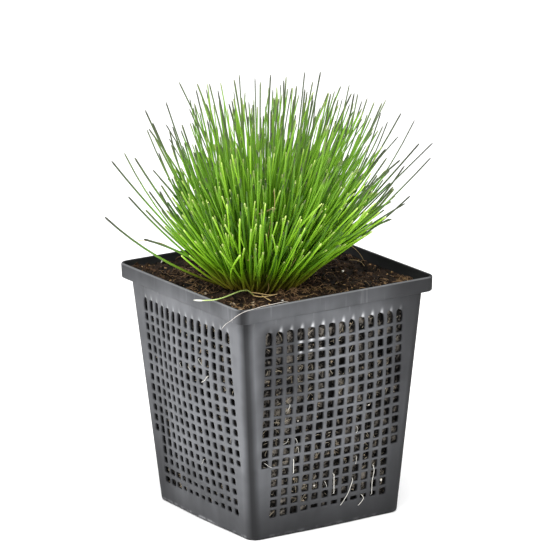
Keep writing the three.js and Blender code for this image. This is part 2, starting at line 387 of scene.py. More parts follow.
def streak_group():
    """Uneven tone that runs mostly one way: stretched noise mixed with soft clouds."""

    def fill(group, given):
        inputs = {0: given["Place"], 1: given["Stretch"]}
        stretched = add_node(group, "ShaderNodeVectorMath", inputs, operation="MULTIPLY").outputs[0]
        inputs = {0: stretched, "Scale": given["Scale"]}
        scaled = add_node(group, "ShaderNodeVectorMath", inputs, operation="SCALE").outputs[0]
        wide = add_math(group, "MULTIPLY", add_noise(group, scaled, 220, 2), 0.6)
        both = add_scaled(group, wide, add_noise(group, given["Place"], 55, 2), 0.4)
        return add_range(group, both, 0.35, 0.65), add_noise(group, scaled, 1500, 2)

    inputs = {"Place": (0, 0, 0), "Stretch": (1, 1, 0.15), "Scale": 1.0}
    return shared_group("Streaks", inputs, ("Tone", "Fine"), fill)


def drop_group(pot):
    """The shape of the painted highlights: a drop over each hole of the top row, and 1 away from that band.

    Across a column it is a bell curve a little right of the middle, exp(-(a squared plus b squared)),
    where b grows faster downwards than upwards. The band ends at the collar.
    """

    def fill(group, given):
        reckon = partial(add_math, group)
        share = reckon("FRACT", reckon("DIVIDE", given["Across"], pot.pitch_across))
        a = reckon("DIVIDE", reckon("SUBTRACT", share, 0.63), 0.12)
        rise = reckon("SUBTRACT", given["Height"], float(row_edges(pot)[-1]) - 0.7 * MM)
        b = reckon("MAXIMUM", reckon("DIVIDE", rise, 1.5 * MM), reckon("DIVIDE", rise, -0.8 * MM))
        far_below = reckon("LESS_THAN", rise, -2.9 * MM)
        far_above = reckon("GREATER_THAN", given["Height"], body_height(pot) + 0.1 * MM)
        return (reckon("MAXIMUM", add_bell(group, a, b), reckon("MAXIMUM", far_below, far_above)),)

    return shared_group("Painted highlight drops", {"Across": 0.0, "Height": 0.0}, ("Shape",), fill)


def add_group(tree, group, **inputs):
    """A group node with its own values. A name's underscore is a space. Returns its outputs."""
    inputs = {key.replace("_", " "): value for key, value in inputs.items()}
    return add_node(tree, "ShaderNodeGroup", inputs, node_tree=group).outputs


def new_material(name, flat, roughness, specular=0.5):
    """A material with a Principled shader. Returns the material, its tree and the shader's inputs."""
    material = bpy.data.materials.new(name)
    material.use_nodes = True
    material.diffuse_color = (*flat, 1)
    tree = material.node_tree
    shader = tree.nodes["Principled BSDF"].inputs
    for key, value in (("Base Color", flat), ("Roughness", roughness), ("Specular IOR Level", specular)):
        feed(tree, shader[key], value)
    return material, tree, shader


def add_bump(tree, shader, height, strength, distance):
    """Relief from a height that feeds the shader's normal."""
    inputs = {"Strength": strength, "Distance": distance, "Height": height}
    feed(tree, shader["Normal"], add_node(tree, "ShaderNodeBump", inputs).outputs[0])


# Materials


def worn_lines(tree, place, height):
    """Pale wear that breaks off and starts again: a line along the foot, and scratches on the collar."""
    reckon = partial(add_math, tree)
    line = add_bell(tree, reckon("DIVIDE", reckon("SUBTRACT", height, 1.1 * MM), 0.45 * MM))
    broken = add_range(tree, add_noise(tree, place, 260, 2), 0.46, 0.62)
    scratches = add_range(tree, add_noise(tree, add_place(tree, (1, 1, 0.04)), 640, 1, 0.4), 0.64, 0.78)
    on_collar = add_range(tree, height, POT_HEIGHT - 9 * MM, POT_HEIGHT - 6 * MM)
    foot_line = reckon("MULTIPLY", reckon("MULTIPLY", line, broken), 0.6)
    return add_scaled(tree, foot_line, reckon("MULTIPLY", scratches, on_collar), 0.12)


def plastic_material(pot):
    """Black moulded plastic: dusty grey outside in faint upright streaks, damp and dark inside.

    The piece's finish map gives the dust, with its painted shade and sheen, in its first number, and the
    painted highlights with the white patches in its second. Its face map gives the place along the wall and
    the height.
    """
    material, tree, shader = new_material("moulded plastic", pot.colour, 0.42, 0.28)
    reckon, place = partial(add_math, tree), add_place(tree)
    dusty, highlight_and_whitening = read_map(tree, "along")
    across, height = read_map(tree, "face")
    streaks = add_group(tree, streak_group(), Place=place, Stretch=(1, 1, 0.1))
    clouds = add_range(tree, add_noise(tree, place, 95, 2), 0.35, 0.65)
    worn = add_scaled(tree, add_scaled(tree, 0.66, streaks["Tone"], 0.2), clouds, 0.28)
    dust = reckon("MULTIPLY", dusty, worn)
    grey = add_mix(tree, dust, pot.colour, pot.worn_colour)
    # Painted highlights: drops over the top row of holes and the lip's line, mixed with the pale wear lines
    # into near white.
    drops = add_group(tree, drop_group(pot), Across=across, Height=height)["Shape"]
    lines = reckon("MULTIPLY", worn_lines(tree, place, height), dusty)
    white = reckon("ADD", reckon("MULTIPLY", highlight_and_whitening, drops), lines)
    white = reckon("MULTIPLY", white, add_scaled(tree, 0.7, streaks["Fine"], 0.5), clamp=True)
    feed(tree, shader["Base Color"], add_mix(tree, white, grey, (0.80, 0.81, 0.83)))
    feed(tree, shader["Roughness"], add_scaled(tree, 0.8, dust, -0.36))
    add_bump(tree, shader, streaks["Fine"], 0.2, 0.1 * MM)
    return material


def soil_material(soil, name="potting soil", lift=1.0):
    """Damp dark soil that turns brown where it is dry, with pale specks of straw and grit.

    Behind the walls, below the height where the open air ends, it is near black with pale grey clumps, the
    near black being painted shade for the soil in the pot's shadow.
    """
    material, tree, shader = new_material(name, soil.brown, 0.9, 0.1)
    place = add_place(tree)
    crumble = add_group(tree, crumble_group(), Place=place, Scale=1.2, Speck_Share=0.55)
    brown = [min(1.0, value * lift) for value in soil.brown]
    tone = add_mix(tree, add_range(tree, crumble["Tone"], 0.2, 1.0), soil.dark, brown)
    speckled = add_mix(tree, crumble["Specks"], tone, (0.36, 0.22, 0.10))
    clumped = add_range(tree, crumble["Tone"], 0.4, 0.95)
    # Painted shade: near-black soil behind the walls, with pale grey clumps.
    buried_in_shade = add_mix(tree, clumped, (0.007, 0.0065, 0.006), (0.24, 0.215, 0.185))
    open_air = add_range(tree, split(tree, place)["Z"], 87.5 * MM, 90.5 * MM)
    feed(tree, shader["Base Color"], add_mix(tree, open_air, buried_in_shade, speckled))
    add_bump(tree, shader, crumble["Relief"], 0.9, 1.2 * MM)
    return material


def crumbly_material(name, flat, roughness, first, second, scale, relief=0.0):
    """Small things in two colours, mixed by crumbly noise, with a relief where it is given."""
    material, tree, shader = new_material(name, flat, roughness)
    crumble = add_group(tree, crumble_group(), Place=add_place(tree), Scale=scale)
    feed(tree, shader["Base Color"], add_mix(tree, crumble["Tone"], first, second))
    if relief:
        add_bump(tree, shader, crumble["Relief"], relief, 0.4 * MM)
    return material


def clouded_material(name, flat, roughness, first, second, noise, low, high):
    """A surface in two colours, mixed by soft noise between its low and its high value."""
    material, tree, shader = new_material(name, flat, roughness)
    tone = add_range(tree, add_noise(tree, add_place(tree), *noise), low, high)
    feed(tree, shader["Base Color"], add_mix(tree, tone, first, second))
    return material


def along_colours(tree, along, stops):
    """A colour that follows a leaf or fibre from its foot to its tip."""
    ramp = add_node(tree, "ShaderNodeValToRGB", {0: along})
    elements = ramp.color_ramp.elements
    for number, (position, colour) in enumerate(stops):
        element = elements[number] if number < 2 else elements.new(position)
        element.position = position
        element.color = (*colour, 1)
    return ramp.outputs[0]


def leaf_material(grass, name, withered, last):
    """Waxy leaves by their own tone, all olive brown near the soil.

    Tone 0 is fresh and bright with a pale tip, 0.5 is deep green that turns grey brown over the withered
    share of its length, and 1 has the last colours from foot to tip. The foot darkens with the tone, which
    for the clump's inner leaves is painted shade.
    """
    material, tree, shader = new_material(name, grass.bright, 0.44, 0.16)
    tone, along = read_map(tree, "along")
    fresh = along_colours(tree, along, [
        (0.0, (0.17, 0.37, 0.005)), (0.3, grass.bright), (0.85, (0.28, 0.545, 0.03)),
        (0.96, (0.36, 0.62, 0.06)), (1.0, (0.62, 0.75, 0.22)),
    ])
    old = along_colours(tree, along, [
        (0.0, (0.07, 0.19, 0.004)), (0.35, grass.deep), (1 - withered, (0.13, 0.28, 0.030)),
        (1 - withered * 0.45, (0.08, 0.12, 0.045)), (1.0, (0.055, 0.06, 0.042)),
    ])
    place = add_place(tree)
    streaks = add_group(tree, streak_group(), Place=place, Stretch=(1, 1, 0.3), Scale=1.5)
    shade = add_math(tree, "MULTIPLY", add_math(tree, "SUBTRACT", streaks["Tone"], 0.5), 0.14)
    share = add_math(tree, "ADD", tone, shade, clamp=True)
    leafy = add_mix(tree, add_range(tree, share, 0.0, 0.5), fresh, old)
    leafy = add_mix(tree, add_range(tree, share, 0.5, 1.0), leafy, along_colours(tree, along, last))
    height = add_scaled(tree, split(tree, place)["Z"], shade, 0.02)
    ground = float(CLUMP_FOOT[2])
    above = add_range(tree, height, ground, ground + 12 * MM)
    # The foot darkens with the tone: painted shade at the feet of the inner leaves.
    foot = add_mix(tree, tone, grass.foot, [value * 0.4 for value in grass.foot])
    feed(tree, shader["Base Color"], add_mix(tree, above, foot, leafy))
    return material


def strand_material(name, foot, tip, roughness=0.7, end=None):
    """A dry strand, root or fibre, from one colour at its foot to another at its tip, and an end colour."""
    material, tree, shader = new_material(name, foot, roughness)
    tone, along = read_map(tree, "along")
    stops = [(0.0, foot), (1.0, tip)] if end is None else [(0.0, foot), (0.25, tip), (0.78, tip), (0.87, end)]
    streaks = add_group(tree, streak_group(), Place=add_place(tree), Stretch=(1, 1, 1), Scale=2.0)
    shade = [value * 0.45 for value in foot]
    mottling = add_math(tree, "MULTIPLY", streaks["Tone"], 0.6)
    mottled = add_mix(tree, mottling, along_colours(tree, along, stops), shade)
    feed(tree, shader["Base Color"], add_mix(tree, add_math(tree, "MULTIPLY", tone, 0.5), mottled, shade))
    return material


# Pot


def body_height(pot):
    """The height where the body ends and the collar starts."""
    return POT_HEIGHT - pot.collar_height


def wall_half(pot, z):
    """Half the body's width at a height: it narrows evenly from the collar's foot to the floor."""
    return pot.bottom_half + (pot.top_half - pot.bottom_half) * z / body_height(pot)


def wall_point(pot, u, z, depth, side=FRONT):
    """A point of the front wall: u along it, z up it, and depth in from its outer face.

    The wall stands at minus its half width, less its bow times the squared cosine of u's share of the
    straight side, and less a bulge that rises smoothly over 18 mm from each corner, and over 58 mm from
    the floor, and falls again over the 36 mm under the collar. The left wall's bulge rises more gently
    from its far corner.
    """
    half = wall_half(pot, z)
    bow = pot.bottom_bow + (pot.top_bow - pot.bottom_bow) * z / body_height(pot)
    swell = bow * np.cos(np.pi / 2 * np.clip(u / (half - pot.corner), -1, 1)) ** 2
    pushed = smoothstep(z, 0, 58 * MM) * (1 - smoothstep(z, 56 * MM, 92 * MM))
    near = smoothstep(half - pot.corner - np.abs(u), 0, 18 * MM)
    gentle = np.minimum(near, smoothstep(half - pot.corner + u, 6 * MM, 34 * MM))
    swell = swell + pot.bulge * pushed * np.where(side == LEFT, gentle, near)
    return np.stack(np.broadcast_arrays(u, -half - swell + depth, z), axis=-1)


def side_turn(points, side):
    """The front wall's points turned by quarter turns about +Z to another side."""
    quarter = np.linalg.matrix_power(np.array([[0, -1], [1, 0]]), side)
    turned = points.copy()
    turned[..., :2] = points[..., :2] @ quarter.T
    return turned


def column_lines(pot, z):
    """Where the upright lines of a wall stand at each height, as (heights, lines).

    There are four lines to a column. The outermost column narrows where the corner comes too near, and
    one more line at each end marks the end of the straight side.
    """
    inner = (pot.columns / 2 - 1) * pot.pitch_across
    straight = wall_half(pot, z) - pot.corner
    edge = np.minimum(inner + pot.pitch_across, straight - 0.4 * MM)
    centre = np.tile(np.linspace(-inner, inner, (pot.columns - 2) * 4 + 1), (len(z), 1))
    right = inner + (edge - inner)[:, None] * np.arange(1, 5) / 4
    return np.concatenate([-straight[:, None], -right[:, ::-1], centre, right, straight[:, None]], axis=1)


def row_edges(pot):
    """Heights of the lines between the rows of holes, from the bottom up."""
    edges = pot.lowest_row + pot.pitch_up * (np.arange(pot.rows + 1) - 0.5)
    edges[-1] += pot.top_hole_extra
    return edges


def bar_share(pot, u, z):
    """1 on the columns of holes and 0 on the ribs between them, within the pierced height."""
    edges = row_edges(pot)
    outermost = np.abs(u) > (pot.columns / 2 - 1) * pot.pitch_across
    low = np.where(outermost, edges[pot.rows - pot.side_rows], edges[0])
    within = np.clip((z - low) / (2 * MM), 0, 1) * np.clip((edges[-1] - 0.9 * MM - z) / (3 * MM), 0, 1)
    turn = u / pot.pitch_across - 0.5
    return np.clip(0.9 + 2 * np.cos(2 * np.pi * turn), 0, 1) * within


def face_relief(pot, u, z, side):
    """How deep the outer face of a wall lies below the plain wall.

    Between the ribs the face is set back, most of all at the left of the front wall and hardly at all on
    the left wall. Above the holes each column has a groove, the squared cosine across, that fades upwards
    with the square of what is left of its height.
    """
    top = row_edges(pot)[-1] - 0.9 * MM
    turn = u / pot.pitch_across - 0.5
    rise = np.clip((z - top) / (5 * MM), 0, 1)
    fading = np.clip(1 - (top - z) / (3 * MM), 0, 1)
    groove = np.where(side == LEFT, 0.35, 0.85) * MM * (1 - rise) ** 2 * fading * np.cos(np.pi * turn) ** 2
    set_back = np.where(side == LEFT, 0.08, 0.3 - 0.24 * smoothstep(u, -20 * MM, 0)) * MM
    inside = np.abs(u) < pot.columns / 2 * pot.pitch_across
    return np.where(inside, set_back * bar_share(pot, u, z) + groove, 0)


# How strong the painted highlight drops are over each column of the front wall, from the left
HIGHLIGHT_DROP_STRENGTHS = [0.1, 0.6, 0.4, 0.6, 0.8, 0.75, 0.4, 0.8, 0.5, 0.75, 0.8, 0.65, 0.3, 0.1]

# White patches on the front wall's bars: u, height and size in millimetres
BAR_PATCHES = [
    (-16.1, 78.8, 0.7), (-11.5, 79, 0.8), (-6.9, 79.2, 1.1), (-3.9, 79.5, 0.7), (-16.3, 74.7, 0.5),
    (-11.7, 74.9, 0.5), (-7.1, 75.3, 0.9),
]


def pot_finish(pot, points):
    """The finish and face maps: dust with painted shade and sheen, painted highlights, and the place along
    the wall with the height.

    Dust is whole on the outer face and gone half a millimetre below it. On the front wall it is thicker on
    the bars than on the ribs, except under the painted shade at the upper left, and it is thinner on the
    collar. Painted shade thins it towards the foot, towards the two far corners, where x minus y is large,
    at the upper left and at the right of the front wall, low on the left wall's far side, and in a bell
    curve over each corner's turn; a painted sheen thickens it on the left wall near the front corner.
    Painted highlights stand over the top row of holes, with a strength for each column of the front wall
    and faint on the other walls, and along the collar's lip; small white patches sit on some bars.
    """
    x, y, z = points.T
    ways = np.stack([-y, x, y, -x])
    side = ways.argmax(axis=0)
    out, u = (np.take_along_axis(way, side[None], 0)[0] for way in (ways, np.stack([x, y, -x, -y])))
    front, foot = side == FRONT, body_height(pot)
    on_body = z < foot - 0.01 * MM
    face = np.where(on_body, -wall_point(pot, u, z, 0, side)[..., 1], pot.collar_half)
    half = np.where(on_body, wall_half(pot, z), pot.collar_half)
    beyond = np.abs(np.stack([x, y])) - (half - pot.corner)
    turning = beyond.min(axis=0) > 0.01 * MM
    depth = np.where(turning, pot.corner - np.hypot(*beyond), face - out)
    depth -= np.where(on_body, face_relief(pot, u, z, side), 0.3 * MM)

    across, high = u / MM, z / MM
    low = np.where(front, 0.07, 0.32)
    # Painted shade: the dust thins towards the foot, standing in for the shadow and the fading reflection
    # near the floor.
    dust = np.clip(1 - depth / (0.5 * MM), 0, 1) * (low + (1 - low) * smoothstep(high, -4, 42))
    # Painted shade at the upper left of the front wall, over the pierced rows and clear of the corner strip
    # and the collar.
    shady = (1 - smoothstep(across, -22, -4)) * smoothstep(high, 26, 68)
    shady *= smoothstep(across, -37, -31) * (1 - smoothstep(high, 83, 89))
    # On the front wall the bars carry more dust than the ribs, and less under the painted shade.
    bar_dust_and_shade = np.where(front, 0.3 * shady - 0.22, 0) * bar_share(pot, u, z)
    falling = 0.26 * np.clip((z - foot) / pot.collar_height, 0, 1)
    dust *= np.where(on_body, 1 - bar_dust_and_shade, np.where(front, 0.78, 0.74) - falling)
    # Painted shade towards the two far corners, where x minus y is large.
    dust *= 1 - np.where(front, 0.8, 0.5) * smoothstep(np.abs(x - y) / MM, 44, 88)
    # On the front wall, more painted shade at the upper left and at the right.
    fading = 0.8 * (1 - 0.68 * shady) * (1 - 0.42 * smoothstep(across, 20, 31))
    # Painted shade low on the left wall's far side, and a painted sheen near its front corner.
    far_low_shade = smoothstep(-across, 14, 30) * (1 - smoothstep(high, 26, 58))
    left = 1 - 0.5 * far_low_shade + 0.16 * smoothstep(across, 28, 34)
    dust *= np.where(front, fading, np.where(side == LEFT, left, 1))
    # Painted shade: a dark band over each corner's turn, where it faces away from both side lights.
    turned = np.arctan2(beyond[1], beyond[0]) / (np.pi / 2)
    dust *= 1 - 0.95 * np.where(turning, np.exp(-(((turned - 0.56) / 0.33) ** 2)), 0)

    # Painted highlights over the top row of holes, strongest on the front wall and faint on the others.
    column = np.clip(np.floor(u / pot.pitch_across).astype(int) + pot.columns // 2, 0, pot.columns - 1)
    drops = np.array(HIGHLIGHT_DROP_STRENGTHS)[column % len(HIGHLIGHT_DROP_STRENGTHS)]
    near = (z > row_edges(pot)[-1] - 2 * MM) & (np.abs(u) < pot.columns / 2 * pot.pitch_across)
    white = np.where(near & on_body, np.where(front, drops, 0.3), 0)
    for patch_across, patch_high, size in BAR_PATCHES:
        away = np.hypot(across - patch_across, (high - patch_high) * 1.6) / size
        white = np.maximum(white, np.where(front & (z < foot), 0.8 * np.exp(-(away**2)), 0))
    white = np.where(depth < 0.45 * MM, white, 0)
    # Painted highlight along the collar's lip.
    lip = (z > POT_HEIGHT - 0.45 * MM) & (out > pot.collar_half - pot.wall * 0.6)
    return np.column_stack([dust, np.where(lip, 0.09, white)]), np.column_stack([u, z])


def corner_points(z, half, radius):
    """The inner points of the corner arc at the right end of the front wall, at each height."""
    angle = -np.pi / 2 + np.pi / 2 * np.arange(1, 6) / 6
    x = (half - radius)[:, None] + radius[:, None] * np.cos(angle)
    y = -(half - radius)[:, None] + radius[:, None] * np.sin(angle)
    return np.stack([x, y, np.broadcast_to(z[:, None], x.shape)], axis=-1)


def body_rings(pot, z, depth, relief=False):
    """Rings of the body at many heights: the four walls and their corners, as (heights, around, 3)."""
    z = np.atleast_1d(np.asarray(z, float))
    u = column_lines(pot, z)
    corner = corner_points(z, wall_half(pot, z) - depth, np.full_like(z, pot.corner - depth))
    quarters = []
    for side in range(4):
        inset = depth + (face_relief(pot, u, z[:, None], side) if relief else 0)
        wall = wall_point(pot, u, z[:, None], inset, side)
        quarters.append(side_turn(np.concatenate([wall, corner], axis=1), side))
    return np.concatenate(quarters, axis=1)


def collar_rings(pot, z, half):
    """Level rings with straight sides, at each height and half width, with the body's line count."""
    z, half = np.broadcast_arrays(np.atleast_1d(z).astype(float), np.atleast_1d(half))
    lines = column_lines(pot, np.array([POT_HEIGHT]))[0]
    radius = np.maximum(pot.corner - (pot.collar_half - half), 2 * MM)
    u = (lines / lines[-1])[None, :] * (half - radius)[:, None]
    wall = np.stack(np.broadcast_arrays(u, -half[:, None], z[:, None]), axis=-1)
    front = np.concatenate([wall, corner_points(z, half, radius)], axis=1)
    return np.concatenate([side_turn(front, side) for side in range(4)], axis=1)


# The sixteen points around a unit square, in order from its lower left corner, and the steps from a
# cell's first point to each of its sixteen edge points
SQUARE_P = np.array([-1, -0.5, 0, 0.5, 1, 1, 1, 1, 1, 0.5, 0, -0.5, -1, -1, -1, -1])
SQUARE_Q = np.array([-1, -1, -1, -1, -1, -0.5, 0, 0.5, 1, 1, 1, 1, 1, 0.5, 0, -0.5])
EDGE_ROWS = ((SQUARE_Q + 1) * 2).astype(int)
EDGE_LINES = ((SQUARE_P + 1) * 2).astype(int)


def pulled(p, q, pull):
    """A square's points with its corners pulled in: p by the root of 1 - pull q^2, and q likewise."""
    return p * np.sqrt(1 - pull * q**2), q * np.sqrt(1 - pull * p**2)


def quartered(marks):
    """The marks with three more at even steps in each gap between them."""
    return np.interp(np.arange(4 * len(marks) - 3) / 4, np.arange(len(marks)), marks)


def quad_mask(pierced):
    """Which quads the holes take out, where each cell of the mask pierced is four by four quads."""
    return np.repeat(np.repeat(pierced, 4, axis=0), 4, axis=1)


def hole_outlines(pot, rows, columns, side):
    """Outlines of a wall's holes, as middles and half sizes in shares, with moulding faults.

    A hole is the unit square's sixteen points with its corners pulled in. The top row's holes are round
    above. The lowest rows are partly closed, and some of the left wall's holes are torn or scarred.
    """
    maker = np.random.default_rng(40 + side)
    count, left = len(rows), side == LEFT
    pull = np.full((count, 16), 0.22 if left else 0.13)
    arches = np.where((SQUARE_Q > 0)[None, :], maker.uniform(0.2, 0.5, (count, 1)), pull)
    pull = np.where((rows == pot.rows - 1)[:, None], arches, pull)
    width = maker.normal(0.98 if left else 1.1, 0.05, count)
    height = maker.normal(1.04 if left else 1.06, 0.05, count)
    shift = maker.normal(0, 0.04, count)
    if left:
        height *= 0.84 + 0.16 * rows / (pot.rows - 1)
    middle = (columns > 3) & (columns < 12)
    flashed = (rows == 0) & middle & (side == FRONT)
    height = np.where(flashed, height * maker.uniform(0.45, 0.8, count), height)
    clogged = (rows < 2) & middle & left
    height = np.where(clogged, height * maker.uniform(0.55, 1, count), height)
    scarred = (columns > 0) & (columns < 3) & (rows > 2) & (rows < 7) & left
    height = np.where(scarred, height * 1.3, height)
    torn = (columns > 0) & (columns < 4) & (rows < 2) & left
    width = np.where(torn, 1.3, width)
    p, q = pulled(SQUARE_P, SQUARE_Q, pull)
    p = p * width[:, None] + maker.normal(0, 0.035, (count, 16))
    q = q * height[:, None] + shift[:, None] + maker.normal(0, 0.03, (count, 16))
    return p, q


def pierce_wall(pot, side, outer, inner, pierced, start):
    """The rims of one wall's holes: from the face's edge points over a rounded lip to the inner face.

    outer and inner are the numbers of the wall's face points, as (levels, lines). Returns the new
    points and the quads, which number the new points from start.
    """
    rows, columns = np.nonzero(pierced)
    levels = 4 * rows[:, None] + EDGE_ROWS
    lines = 1 + 4 * columns[:, None] + EDGE_LINES
    edges = row_edges(pot)
    p, q = hole_outlines(pot, rows, columns, side)
    tall = np.where(rows == pot.rows - 1, pot.top_hole_extra / 2, 0)
    middle_u = (columns - (pot.columns - 1) / 2) * pot.pitch_across
    middle_z = (edges[rows] + edges[rows + 1]) / 2
    rims = []
    for widen, depth in ((1.16, 0), (1.03, 0.16 * MM), (1.0, pot.wall)):
        u = middle_u[:, None] + p * pot.hole_width / 2 * widen
        z = middle_z[:, None] + q * (pot.hole_height / 2 * widen + tall[:, None])
        sunk = depth + (face_relief(pot, u, z, side) if depth < pot.wall else 0)
        rims.append(side_turn(wall_point(pot, u, z, sunk, side), side))
    numbers = start + np.arange(3 * p.size).reshape(3, -1, 16)
    return np.concatenate(rims).reshape(-1, 3), bands([outer[levels, lines], *numbers, inner[levels, lines]])


def pot_walls(pot):
    """The pot's walls as one closed shell of rings, pierced by the holes. Returns points and quads.

    The rings go from the foot's quarter circle up the outside, over the collar and its half round lip,
    and down the inside.
    """
    foot = body_height(pot)
    ledge = foot + pot.wall
    edges = row_edges(pot)
    fine = quartered(edges)
    round_foot = 0.9 * MM
    turn = np.linspace(0, np.pi / 2, 5)
    sill = [body_rings(pot, round_foot * (1 - np.cos(a)), round_foot * (1 - np.sin(a))) for a in turn]
    lip, outward = pot.wall / 2, pot.collar_half
    over = np.linspace(0, np.pi, 7)[1:]
    collar_z = np.array([foot, foot + 0.3 * MM, foot + 2 * MM, POT_HEIGHT - lip])
    collar_half = outward - np.array([0.5, 0.2, 0.13, 0]) * MM
    parts = [
        *sill,
        body_rings(pot, np.linspace(round_foot, edges[0], 5)[1:-1], 0),
        body_rings(pot, fine, 0, relief=True),
        body_rings(pot, np.linspace(edges[-1], foot, 11)[1:], 0, relief=True),
        collar_rings(pot, collar_z, collar_half),
        collar_rings(pot, POT_HEIGHT - lip + lip * np.sin(over), outward - lip + lip * np.cos(over)),
        collar_rings(pot, np.array([ledge + 0.3 * MM, ledge]), outward - pot.wall - np.array([0, 0.3 * MM])),
        body_rings(pot, ledge, pot.wall),
        body_rings(pot, fine[::-1], pot.wall),
        body_rings(pot, 0, pot.wall),
    ]
    rings = np.concatenate(parts)
    counts = np.cumsum([0] + [len(part) for part in parts])
    levels, around = rings.shape[:2]
    numbers = np.arange(levels * around).reshape(levels, around)
    outer_start, inner_start = counts[len(sill) + 1], counts[len(parts) - 2]

    rows, columns = np.indices((pot.rows, pot.columns))
    pierced = ((columns > 0) & (columns < pot.columns - 1)) | (rows >= pot.rows - pot.side_rows)
    lines = around // 4
    mask = np.zeros((len(fine) - 1, lines), bool)
    mask[:, 1 : 1 + 4 * pot.columns] = quad_mask(pierced)
    mask = np.tile(mask, (1, 4))
    skip = np.zeros((levels, around), bool)
    skip[outer_start : outer_start + len(mask)] = mask
    skip[inner_start : inner_start + len(mask)] = mask[::-1]
    all_points, all_quads = [rings.reshape(-1, 3)], [bands([numbers, np.roll(numbers, -1, 0)])[~skip.ravel()]]

    start = levels * around
    for side in range(4):
        own = slice(side * lines, (side + 1) * lines)
        outer = numbers[outer_start : outer_start + len(fine), own]
        inner = numbers[inner_start : inner_start + len(fine), own][::-1]
        points, rims = pierce_wall(pot, side, outer, inner, pierced, start)
        start += len(points)
        all_points.append(points)
        all_quads.append(rims)
    return np.concatenate(all_points), np.concatenate(all_quads)


def pot_floor(pot):
    """The floor plate, set into the foot of the walls, with square drain holes on both sides of a cross.

    Its outline is the unit square with its corners pulled in, and its cells are square. Returns points
    and quads.
    """
    marks = np.array([-21, -12, -3, 3, 12, 21]) * MM
    line = quartered(marks)
    x, y = np.meshgrid(line, line)

    def at_both_faces(x, y):
        return [np.stack([x, y, np.full_like(x, z)], axis=-1).reshape(-1, 3) for z in (pot.wall, 0.05 * MM)]

    grids = at_both_faces(x, y)
    number = np.arange(x.size).reshape(x.shape)
    rows, columns = np.indices((5, 5))
    pierced = (rows != 2) & (columns != 2)
    quads = np.stack([number[:-1, :-1], number[:-1, 1:], number[1:, 1:], number[1:, :-1]], axis=-1)
    quads = quads[~quad_mask(pierced)]

    rows, columns = np.nonzero(pierced)
    on_grid = number[4 * rows[:, None] + EDGE_ROWS, 4 * columns[:, None] + EDGE_LINES]
    middle = (marks[:-1] + marks[1:]) / 2
    p, q = pulled(SQUARE_P, SQUARE_Q, 0.2)
    half = 2.5 * MM
    rims = at_both_faces(middle[columns][:, None] + p * half, middle[rows][:, None] + q * half)
    first = 2 * x.size + np.arange(on_grid.size).reshape(on_grid.shape)

    edge = np.concatenate([number[0, :-1], number[:-1, -1], number[-1, :0:-1], number[:0:-1, 0]])
    p, q = pulled(*grids[0][edge, :2].T / line[-1], 0.16)
    reach = pot.bottom_half - 0.4 * MM
    outline = at_both_faces(p * reach, q * reach)
    second = 2 * (x.size + first.size) + np.arange(len(edge))[None, :]
    all_quads = [
        quads, quads[:, ::-1] + x.size,
        bands([on_grid, first, first + first.size, on_grid + x.size]),
        bands([edge[None, :] + x.size, second + len(edge), second, edge[None, :]]),
    ]
    return np.concatenate([*grids, *rims, *outline]), np.concatenate(all_quads)


class OBJECT_OT_mesh_pot(bpy.types.Operator):
    """Builds the mesh pot: pierced walls, the stepped collar and the floor with its drain holes."""

    bl_idname = "potted_grass.mesh_pot"
    bl_label = "Mesh pot"

    def execute(self, context):
        pot = context.scene.grass_pot
        wall_points, wall_quads = pot_walls(pot)
        floor_points, floor_quads = pot_floor(pot)
        points = np.concatenate([wall_points, floor_points])
        quads = np.concatenate([wall_quads, floor_quads + len(wall_points)])
        used, compact = np.unique(quads, return_inverse=True)
        points, quads = points[used], compact.reshape(quads.shape)
        finish, face = pot_finish(pot, points)
        material = plastic_material(pot)
        make_piece("mesh_pot", points, [quads], material, "pot_plastic", ["pot"], uv=finish, face_uv=face)
        return {"FINISHED"}


# Soil


def soil_height(soil, x, y):
    """The soil's height: gentle mounds that fade out at the crown, and a dip along the +X wall."""
    away = np.hypot(x - CROWN[0], y - CROWN[1])
    fade = smoothstep(away, 23 * MM, 32 * MM)
    a, b = x / MM, y / MM
    mounds = np.sin(a * 0.31 + 1) * np.cos(b * 0.27) + 0.5 * np.sin(a * 0.17 - b * 0.43)
    dip = 1.3 * MM * smoothstep(x, 20 * MM, 40 * MM)
    return soil.level + fade * (soil.mound * mounds - soil.slope * (x - CROWN[0])) - dip


# Where the step inside the collar starts, from the middle, and the least height of the soil over it
LEDGE_HALF, LEDGE_COVER = 39.5 * MM, 91.8 * MM


def crumbly_height(soil, x, y):
    """The soil's height with its lumps: noise of three sizes, kept just above the pot's ledge."""
    height = soil_height(soil, x, y)
    for strength, seed, size in ((0.85, 3, 4.2), (0.7, 8, 1.8), (0.35, 4, 0.8)):
        height = height + strength * MM * rumple(x, y, 0 * x, seed, 2, size * MM)
    on_ledge = np.maximum(np.abs(x), np.abs(y)) > LEDGE_HALF
    return np.where(on_ledge, np.maximum(height, LEDGE_COVER), height)


def soil_block(pot, soil):
    """The soil as one closed surface: rumpled sides inside the pot's walls, and a top of shrinking rings."""
    gap = pot.wall + 0.3 * MM
    ledge = body_height(pot) + gap
    side_z = np.concatenate([[gap], np.linspace(2 * MM, ledge - 0.5 * MM, 70), [ledge]])
    sides = body_rings(pot, side_z, gap)
    shelf = collar_rings(pot, np.array([ledge]), np.array([pot.collar_half - gap]))
    shrink = 1 - np.linspace(0, 1, 58)[:-1, None] ** 0.9
    x, y = (CROWN[axis] + (shelf[0, :, axis] - CROWN[axis]) * shrink for axis in (0, 1))
    top = np.stack([x, y, crumbly_height(soil, x, y)], axis=-1)
    inward = 0.45 * MM * (1 + rumple(*np.moveaxis(sides, -1, 0), 5, 3, 1.3 * MM))
    sides[..., :2] *= (1 - inward / np.abs(sides[..., :2]).max(axis=-1))[..., None]
    rings = np.concatenate([sides, shelf, top])
    poles = np.array([[0, 0, gap], [CROWN[0], CROWN[1], soil.level]])
    return np.concatenate([rings.reshape(-1, 3), poles]), ring_faces(*rings.shape[:2])


